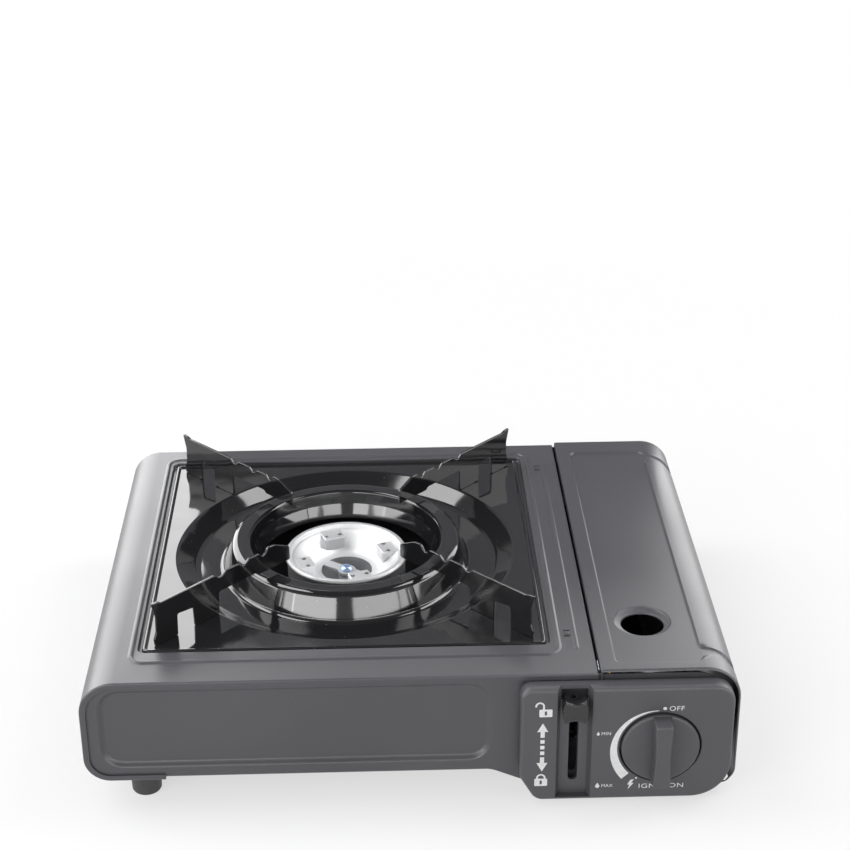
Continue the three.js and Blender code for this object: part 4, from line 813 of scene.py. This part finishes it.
# Moulded ABS with a spark-eroded grain: a matt charcoal with pin-point glints, grain about 0.5 mm.
def grained_abs(name, tones, gloss, depth):
    return textured(name, tones, gloss, (1500, 3, 0.6), (40, 2), 0.35, depth, IOR=1.54)


charcoal_abs = grained_abs("grained_abs_charcoal", ("#414145", "#47474B"), 0.5, 0.00008)
fitted(control_box, charcoal_abs, "control_plastic", "stove", "control_box")


# Pad-printed white ink: a thin, slightly uneven film that is a little glossier than the plastic.
white_ink, tree, place = started("pad_printed_white_ink")
cover = noise(tree, place, 900, 2)
surfaced(white_ink, cover, 0.2, 0.00003, Base_Color=two_tone(tree, cover, "#D2D2D2", "#F0F0F0"), Roughness=0.45)
ink = 0.05
ink_y = face_y - 0.03


def inked(name, *loops):
    """A printed shape: one thin film of ink for each outline."""
    return joined(name, *[slab(name, loop, ink_y, ink_y + ink, "y") for loop in loops])


def ring_band(x, z, inner, outer, start, end, steps, taper=1.0):
    """A strip round a centre; its width shrinks to taper of itself at its end. Angles are in degrees."""
    turns = [math.radians(start + (end - start) * k / steps) for k in range(steps + 1)]
    near = [(x + inner * math.cos(a), z + inner * math.sin(a)) for a in turns]
    far = []
    for k, a in enumerate(turns):
        radius = inner + (outer - inner) * (1 + (taper - 1) * k / steps)
        far.append((x + radius * math.cos(a), z + radius * math.sin(a)))
    return far + near[::-1]


def drop(x, z, height):
    r = height * 0.33
    low = z - height / 2 + r
    turns = [math.radians(a) for a in range(150, 391, 20)]
    return [(x + r * math.cos(a), low + r * math.sin(a)) for a in turns] + [(x, z + height / 2)]


def lettering(text, x, z, height, wide=1.0):
    drawing = bpy.data.curves.new("letters_" + text.lower(), "FONT")
    drawing.body = text
    drawing.size = height * 1.38 * MM
    drawing.align_x = "LEFT"
    drawing.align_y = "CENTER"
    drawing.extrude = ink / 2 * MM
    drawing.space_character = 1.08
    letters = bpy.data.objects.new(drawing.name, drawing)
    bpy.context.scene.collection.objects.link(letters)
    only(letters)
    bpy.ops.object.convert(target="MESH")
    letters = bpy.context.object
    letters.rotation_euler = (math.pi / 2, 0, 0)
    letters.scale = (wide, 1, 1)
    letters.location = Vector((x, ink_y + ink / 2, z)) * MM
    bpy.ops.object.transform_apply(location=True, rotation=True, scale=True)
    return letters


def padlock(name, x, z, opened):
    """A padlock with a keyhole. The open one's bow stands up and to the left, on its right leg."""
    lift = 1.5 if opened else 0.0
    shift = -3.1 if opened else 0.0
    left, right = x + shift - 2, x + shift + 2
    body = inked(name, oblong(x - 3.4, z - 3.4, x + 3.4, z + 1.3, 0.6, 3))
    keyhole = oblong(x - 0.6, z - 2.4, x + 0.6, z + 0.2, 0.5, 4)
    cut_away(body, slab("keyhole", keyhole, ink_y - 1, ink_y + 1, "y"))
    bow = inked("bow", ring_band(x + shift, z + 1.8 + lift, 1.55, 2.5, 0, 180, 16),
                rectangle(left - 0.5, z + 1.3 + lift, left + 0.45, z + 1.8 + lift),
                rectangle(right - 0.45, z + 1.3, right + 0.5, z + 1.8 + lift))
    return joined(name, body, bow)


lock_x = slot_x - 16.6
marks = [padlock("open_padlock", lock_x + 1.4, 59.9, True),
         padlock("closed_padlock", lock_x - 0.4, 16.2, False)]
arrows = []
for tip, way in ((52.6, -1), (22.2, 1)):
    arrows.append([(lock_x - 2.9, tip + way * 5.4), (lock_x + 2.9, tip + way * 5.4), (lock_x, tip)])
    arrows.append(rectangle(lock_x - 1.1, tip + way * 9, lock_x + 1.1, tip + way * 5.2))
arrows += [rectangle(*about(lock_x, z, 1.1, 1.1)) for z in (33.8, 37.4, 41)]
marks.append(inked("lock_arrows", *arrows))

# The flow scale round the knob thins out from full flame at the bottom to nothing at the off dot.
marks.append(inked("flow_scale", ring_band(knob_x, knob_z, 22.8, 28, 225, 94, 60, 0.06)))
marks.append(inked("off_dot", circle(knob_x + 1.2, knob_z + 24.2, 1.0, 20)))
marks.append(lettering("OFF", knob_x + 3.4, knob_z + 24.0, 2.9, 1.1))
marks.append(inked("small_drop", drop(knob_x - 33.0, knob_z + 9.4, 2.4)))
marks.append(lettering("MIN", knob_x - 31.4, knob_z + 9.2, 2.0))
marks.append(inked("large_drop", drop(knob_x - 32.4, knob_z - 23.6, 3.4)))
marks.append(lettering("MAX", knob_x - 30.4, knob_z - 24.0, 2.0))
bolt = [(knob_x + x, knob_z + z) for x, z in (
    (-15.0, -20.6), (-13.2, -20.2), (-14.4, -22.6), (-13.2, -22.6), (-16.2, -26.6), (-15.4, -23.6),
    (-16.6, -23.6))]
marks.append(inked("spark", bolt, circle(knob_x - 12, knob_z - 19.4, 0.55, 16)))
marks.append(lettering("IGNITION", knob_x - 10.8, knob_z - 24.8, 2.9, 1.28))
box_marks = joined("box_marks", *marks)
box_marks.data.materials.clear()
box_marks.data.materials.append(white_ink)
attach(box_marks, "stove")


# ---- Control knob ----
# One ABS moulding: a disc with a rolled edge and a waisted grip bar across it, pressed on the spindle.
disc_radius = (knob_high.x - knob_low.x) / 2
disc_front = face_y - 1.4
disc_back = knob_high.y
knob = spun("control_knob", [
    (0, disc_front), (disc_radius - 1.6, disc_front), (disc_radius - 0.8, disc_front + 0.2),
    (disc_radius - 0.25, disc_front + 0.7), (disc_radius, disc_front + 1.5), (disc_radius, disc_back),
    (0, disc_back)], (knob_x, 0, knob_z), "y", 96)
waisted = rounded([
    (knob_x - 5.4, knob_z - 20, 1.4), (knob_x + 5.4, knob_z - 20, 1.4), (knob_x + 4.5, knob_z, 60),
    (knob_x + 5.4, knob_z + 20, 1.4), (knob_x - 5.4, knob_z + 20, 1.4), (knob_x - 4.5, knob_z, 60)], 8)
grip = slab("grip", waisted, knob_low.y, disc_back - 1, "y")
picked(grip, "FACE", lambda at, normal: normal.y < -0.9)
bpy.ops.transform.resize(value=(0.84, 1, 0.955),
                         center_override=Vector((knob_x, knob_low.y, knob_z + 0.4)) * MM)
folded(grip, 0.7, 4, lambda at, way: abs(at.y - knob_low.y) < 0.01)
fused(knob, grip)
broken(knob, 0.35, 3, 55)
polished(knob)
fitted(knob, charcoal_abs, "control_plastic", "knob", "control_knob")


# ---- Gas valve, spindle and igniter ----
# A die-cast valve and regulator block with a brass spindle and a moulded ramp ring that drives the
# igniter's plunger back. All of it hangs on a folded bracket behind the front wall.

# Bright die-cast aluminium with a fine turned finish: soft highlights over a faint casting grain.
def die_cast(name, tones, gloss, scale):
    return textured(name, tones, gloss, (scale, 4, 0.6), (55, 2), 0.25, 0.00008, Metallic=1.0)


cast_aluminium = die_cast("die_cast_aluminium", ("#CFD0D1", "#DFDFE0"), 0.52, 1100)
# Machined brass: warm yellow with fine turning marks.
turned_brass = die_cast("machined_brass", ("#B08C4C", "#C29C58"), 0.3, 2200)
black_abs = grained_abs("polished_abs_black", ("#1B1B1D", "#222225"), 0.26, 0.00002)
refined("regulator_body", cast_aluminium, "cast_aluminium", "stove", 0.4)
refined("regulator_cover", cast_aluminium, "cast_aluminium", "stove", 0.3)
refined("valve_spindle", turned_brass, "brass", "knob", 0.3)
refined("igniter_cam", charcoal_abs, "control_plastic", "knob", 0.15)
refined("igniter_plunger", charcoal_abs, "control_plastic", "plunger", 0.2)
refined("piezo_igniter", black_abs, "lever_plastic", "stove", 0.3)


# ---- Gas line and burner ----
# A die-cast cup with its mixing tube carries a turned cap. The cap has a raised rim over a ring of fine
# slots, a bowl with four drilled bosses, and two half-moon openings beside a bridge that a screw holds.
refined("burner_body", cast_aluminium, "cast_aluminium", "stove", 0.3)
refined("gas_pipe", turned_brass, "brass", "stove", 0.0, 60)
refined("gas_jet", turned_brass, "brass", "stove", 0.15)

head_low, head_high = mm_box("burner_head")
burner_x, burner_y = mm_middle("burner_head")[:2]
rim_radius = 35.5
rim_z = head_high.z
base_z = head_low.z
bowl_z = base_z + 1.6
boss_z = rim_z - 2.6
through = (50, 80)
teeth_count = 56

teeth = []
for k in range(teeth_count):
    for radius, shift in ((31.4, 0.0), (31.4, 0.4), (34.3, 0.44), (34.3, 0.96)):
        angle = 2 * math.pi * (k + shift) / teeth_count
        teeth.append((burner_x + radius * math.cos(angle), burner_y + radius * math.sin(angle)))
comb = cut_away(slab("comb", teeth, base_z, base_z + 7.2),
                slab("core", circle(burner_x, burner_y, 30.4, 56), base_z - 1, base_z + 8))
head = spun("burner_head", rounded([
    (0, base_z), (17.6, base_z, 1), (28.4, base_z + 8.7, 1), (30, base_z + 6.6), (32.6, base_z + 6.6),
    (34.4, base_z + 7.2), (34.8, rim_z - 3.6, 1), (rim_radius, rim_z - 2.4, 0.6), (rim_radius, rim_z - 1.2, 0.5),
    (rim_radius - 0.8, rim_z, 0.5), (rim_radius - 3.2, rim_z, 0.4), (rim_radius - 3.7, rim_z - 2.3, 0.4),
    (rim_radius - 5.2, rim_z - 2.7, 1), (28.4, rim_z - 3.8, 6), (18.6, bowl_z + 0.9, 8), (15, bowl_z, 1),
    (0, bowl_z)], 3, closed=False), (burner_x, burner_y, 0), "z", 112)
fused(head, comb)

# Four bosses stand on the bowl's slope, each with two pilot holes into the gas space.
pilots = []
for quarter in range(4):
    turn = Matrix.Rotation(math.radians(19 + 90 * quarter), 2)
    middle = Vector((burner_x, burner_y))
    outline = [turn @ p + middle for p in rounded(
        [(20.4, -6.1, 0.6), (30.2, -6.5), (30.2, 6.5), (20.4, 6.1, 0.6)], 4)]
    boss = slab("boss", outline, bowl_z + 2.4, boss_z)
    folded(boss, 0.5, 3, lambda at, way: at.z > boss_z - 0.01)
    under = spun("under", [(0, base_z - 1), (18.6, base_z + 0.5), (29.4, base_z + 9.2), (40, base_z + 9.2),
                           (40, base_z - 4), (0, base_z - 4)], (burner_x, burner_y, 0), "z", 112)
    cut_away(boss, under)
    fused(head, boss)
    for step in (-4.2, 4.2):
        x, y = turn @ Vector((24.5, step)) + middle
        pilots.append(slab("pilot", circle(x, y, 1.3, 20), *through))


def bow_points(radius, steps, way):
    """Half a circle, less what lies on the bridge; way is 1 from right to left and -1 back again."""
    start = math.asin(3 / radius)
    sweep = (math.pi - 2 * start) * way
    first = start if way > 0 else math.pi - start
    return [Vector((radius * math.cos(first + sweep * k / steps), radius * math.sin(first + sweep * k / steps)))
            for k in range(steps + 1)]


def half_moon(side):
    """An air opening: half a disc beside the bridge, with a bite out of it for the screw's boss."""
    turn = Matrix.Rotation(math.radians(-35 + side), 2)
    outline = bow_points(14.8, 32, 1) + bow_points(5.2, 12, -1)
    return slab("half_moon", [turn @ p + Vector((burner_x, burner_y)) for p in outline], *through)


cut_away(head, half_moon(0), half_moon(180), *pilots)
broken(head, 0.2, 2, 60)
polished(head, 32)
fitted(head, cast_aluminium, "cast_aluminium", "stove", "burner_head")
# The screw's zinc has a blue passivated finish, which shows as a cool glint.
blue_zinc = die_cast("blue_zinc_plate", ("#9FB6DA", "#C6D6EE"), 0.3, 1500)
refined("burner_screw", blue_zinc, "zinc_steel", "stove", 0.15)


# Glazed white ceramic of the electrode, with a thin clear glaze over a fine bisque.
white_ceramic, tree, place = started("glazed_white_ceramic")
bisque = noise(tree, place, 600, 2)
surfaced(white_ceramic, bisque, 0.1, 0.0001, Base_Color=two_tone(tree, bisque, "#DEDBD2", "#EDEBE4"),
         Roughness=0.3, Coat_Weight=0.6, Coat_Roughness=0.06)


# Silicone rubber of the lead: dull black with a soft sheen.
def soft_rubber(name, tones, gloss):
    material, tree, place = started(name)
    bloom = noise(tree, place, 700, 3)
    return surfaced(material, bloom, 0.3, 0.0001, Base_Color=two_tone(tree, bloom, *tones),
                    Roughness=ramp(tree, bloom, gloss - 0.1, gloss + 0.1))


lead_rubber = soft_rubber("silicone_rubber_black", ("#1D1D1F", "#28282A"), 0.6)
refined("electrode_insulator", white_ceramic, "insulator_ceramic", "stove", 0.3)
refined("electrode_pin", zinc_steel, "zinc_steel", "stove", 0.0, 60)
refined("ignition_lead", lead_rubber, "lead_insulation", "stove", 0.0, 60)


# ---- Cartridge lock ----
# A stamped lever on a rivet draws a flat bar, and the bar pushes the cartridge on to the valve. The
# thumb piece in the channel is polished black ABS; the rest is zinc-plated steel.
refined("lever_knob", black_abs, "lever_plastic", "lever", 0.5)
refined("lever_arm", zinc_steel, "zinc_steel", "lever", 0.2)
refined("lever_pivot_pin", zinc_steel, "zinc_steel", "stove", 0.3)
refined("pusher_link", zinc_steel, "zinc_steel", "pusher", 0.15)
refined("pusher_plate", zinc_steel, "zinc_steel", "pusher", 0.2)


# ---- Drip pan ----
# Pressed steel 0.8 mm thick under black vitreous enamel: a square rim with a rolled edge, a round
# trough, and a raised collar round the burner. It drops into the deck's well and lifts out.
pan_rim_z = 75.6
rim_under_z = pan_rim_z - sheet
floor_z = 68.2 - sheet
crest_z = pan_high.z - sheet
pan_line = rounded([
    (51.4, floor_z + 0.2), (54.6, floor_z + 8.5, 5), (56, crest_z - 0.1, 1.2), (64.6, crest_z - 0.3, 3.4),
    (70.6, floor_z, 4), (87, floor_z, 9), (98, rim_under_z, 3), (101, rim_under_z)], 8, closed=False)
pan_bowl = spun("bowl", [(0, 0)] + [(p.x, p.y) for p in aside(pan_line, sheet)], (pan_x, pan_y, 0), "z", 144)
picked(pan_bowl, "VERT", lambda at, way: at.z < 60)
bpy.ops.mesh.delete(type="VERT")
bpy.ops.object.mode_set(mode="OBJECT")
pan_side = (pan_high.x - pan_low.x) / 2
pan_edge = pressed("pan_edge", oblong(*about(pan_x, pan_y, pan_side, pan_side), 3.2, 6),
                   [(0.02, 0.7), (0.12, 0.5), (0.24, 0.4), (0.4, 0.25), (0.5, 0.05), (0.45, -0.12),
                    (0.35, -0.38), (0.22, -0.4), (0.3, -0.2), (0.4, 0)], "z", rim_under_z)
drip_pan = joined("drip_pan", pan_bowl, pan_edge)
sheeted(drip_pan, lambda co: abs(co.z - pan_rim_z) < 0.03)
gauged(drip_pan, sheet, lambda at, normal: normal.z > 0.99 and abs(at.z - pan_rim_z) < 0.1)
for quarter in range(4):
    for near, far in ((98.6, 112), (127.6, 140)):
        turn = Matrix.Rotation(math.radians(45 + 90 * quarter), 2)
        loop = [turn @ Vector(p) + Vector((pan_x, pan_y)) for p in rectangle(near, -1.05, far, 1.05)]
        cut_away(drip_pan, slab("tab_slot", loop, 60, 90))
polished(drip_pan, 40)


# Vitreous enamel fired over steel: deep gloss black, slightly wavy, with a few fine pale dust specks.
black_enamel, tree, place = started("vitreous_enamel_black")
wave = noise(tree, place, 55, 1, 0.3)
smear = noise(tree, place, 24, 4, 0.6)
dust = node(tree, "ShaderNodeTexVoronoi", Vector=place, Scale=190).outputs["Distance"]
shade = two_tone(tree, ramp(tree, dust, 0.6, 0, 0.02, 0.055), "#1D1D1F", "#9A9A9C")
surfaced(black_enamel, wave, 0.25, 0.0008, Base_Color=shade, Roughness=ramp(tree, smear, 0.05, 0.13, 0.35, 0.7),
         IOR=1.6)
fitted(drip_pan, black_enamel, "pan_enamel", "pan", "drip_pan")


# ---- Pan supports ----
# Four stamped plates on edge, in the pan's enamel. Each has two feet with a window between them, a
# stepped top that grips a small pot, and an upturned outer corner; tabs below lock them in the pan.
support_top = 100.6
foot_z = pan_rim_z + 0.3
step_z = support_top - 2.6
top_z = support_top - 0.2
support_line = rounded([
    (142.8, foot_z, 0.4), (143, 79.6, 1), (141.2, 84, 4), (141, 93, 6), (143.4, support_top + 1.2, 0.5),
    (139.4, support_top + 0.8, 1.6), (137, top_z, 2.4), (99.5, top_z, 1.6), (96.8, step_z, 1), (94.4, step_z, 1),
    (91, top_z, 2.4), (82.4, top_z, 1.6), (79.6, step_z, 0.8), (77.6, step_z, 0.8), (74.6, top_z, 2),
    (67.4, top_z, 1.2), (65.2, step_z, 0.8), (63, step_z, 0.8), (60.4, support_top + 1, 2.8),
    (55.6, support_top + 0.6, 3.2), (44.6, 95.8, 1.6), (44.4, 87.4, 1.2), (67.5, 87.4, 1.6), (69.5, 89.2, 2.4),
    (97.2, 89.2, 1.5), (97.6, foot_z), (99.1, foot_z), (99.1, rim_under_z), (111.5, rim_under_z),
    (111.5, foot_z), (115, foot_z), (115.4, 87.4, 1.2), (126.6, 88.6, 1.2), (127, foot_z), (128.1, foot_z),
    (128.1, rim_under_z), (139.5, rim_under_z), (139.5, foot_z)], 6)
support = slab("pan_support", support_line, -0.75, 0.75, "y")
broken(support, 0.5, 3, 50)
for quarter, name in enumerate(("rear_right", "rear_left", "front_left", "front_right")):
    only(support)
    bpy.ops.object.duplicate()
    copy = bpy.context.object
    copy.name = copy.data.name = "pan_support_" + name + "_piece"
    copy.rotation_euler = (0, 0, math.radians(45 + 90 * quarter))
    copy.location = Vector((pan_x, pan_y, 0)) * MM
    bpy.ops.object.transform_apply(location=True, rotation=True, scale=True)
    polished(copy)
    fitted(copy, black_enamel, "pan_enamel", "pan", "pan_support_" + name)
bpy.data.objects.remove(support)


# ---- Feet ----
# Turned-looking moulded rubber buttons, pressed into holes in the tray's floor, with a rounded sole.
foot_rubber = soft_rubber("moulded_rubber_black", ("#2C2C2E", "#38383A"), 0.62)
for name in ("foot_front_left", "foot_front_right", "foot_rear_left", "foot_rear_right"):
    low, high = mm_box(name)
    r = (high.x - low.x) / 2
    foot = spun(name, [(0, low.z), (r - 2.2, low.z), (r - 1.0, low.z + 0.35), (r - 0.5, low.z + 1.2),
                       (r - 0.1, high.z - 1.4), (r, high.z - 1.0), (r, high.z), (0, high.z)],
                ((low.x + high.x) / 2, (low.y + high.y) / 2, 0), "z", 64)
    polished(foot)
    fitted(foot, foot_rubber, "foot_rubber", "stove", name)
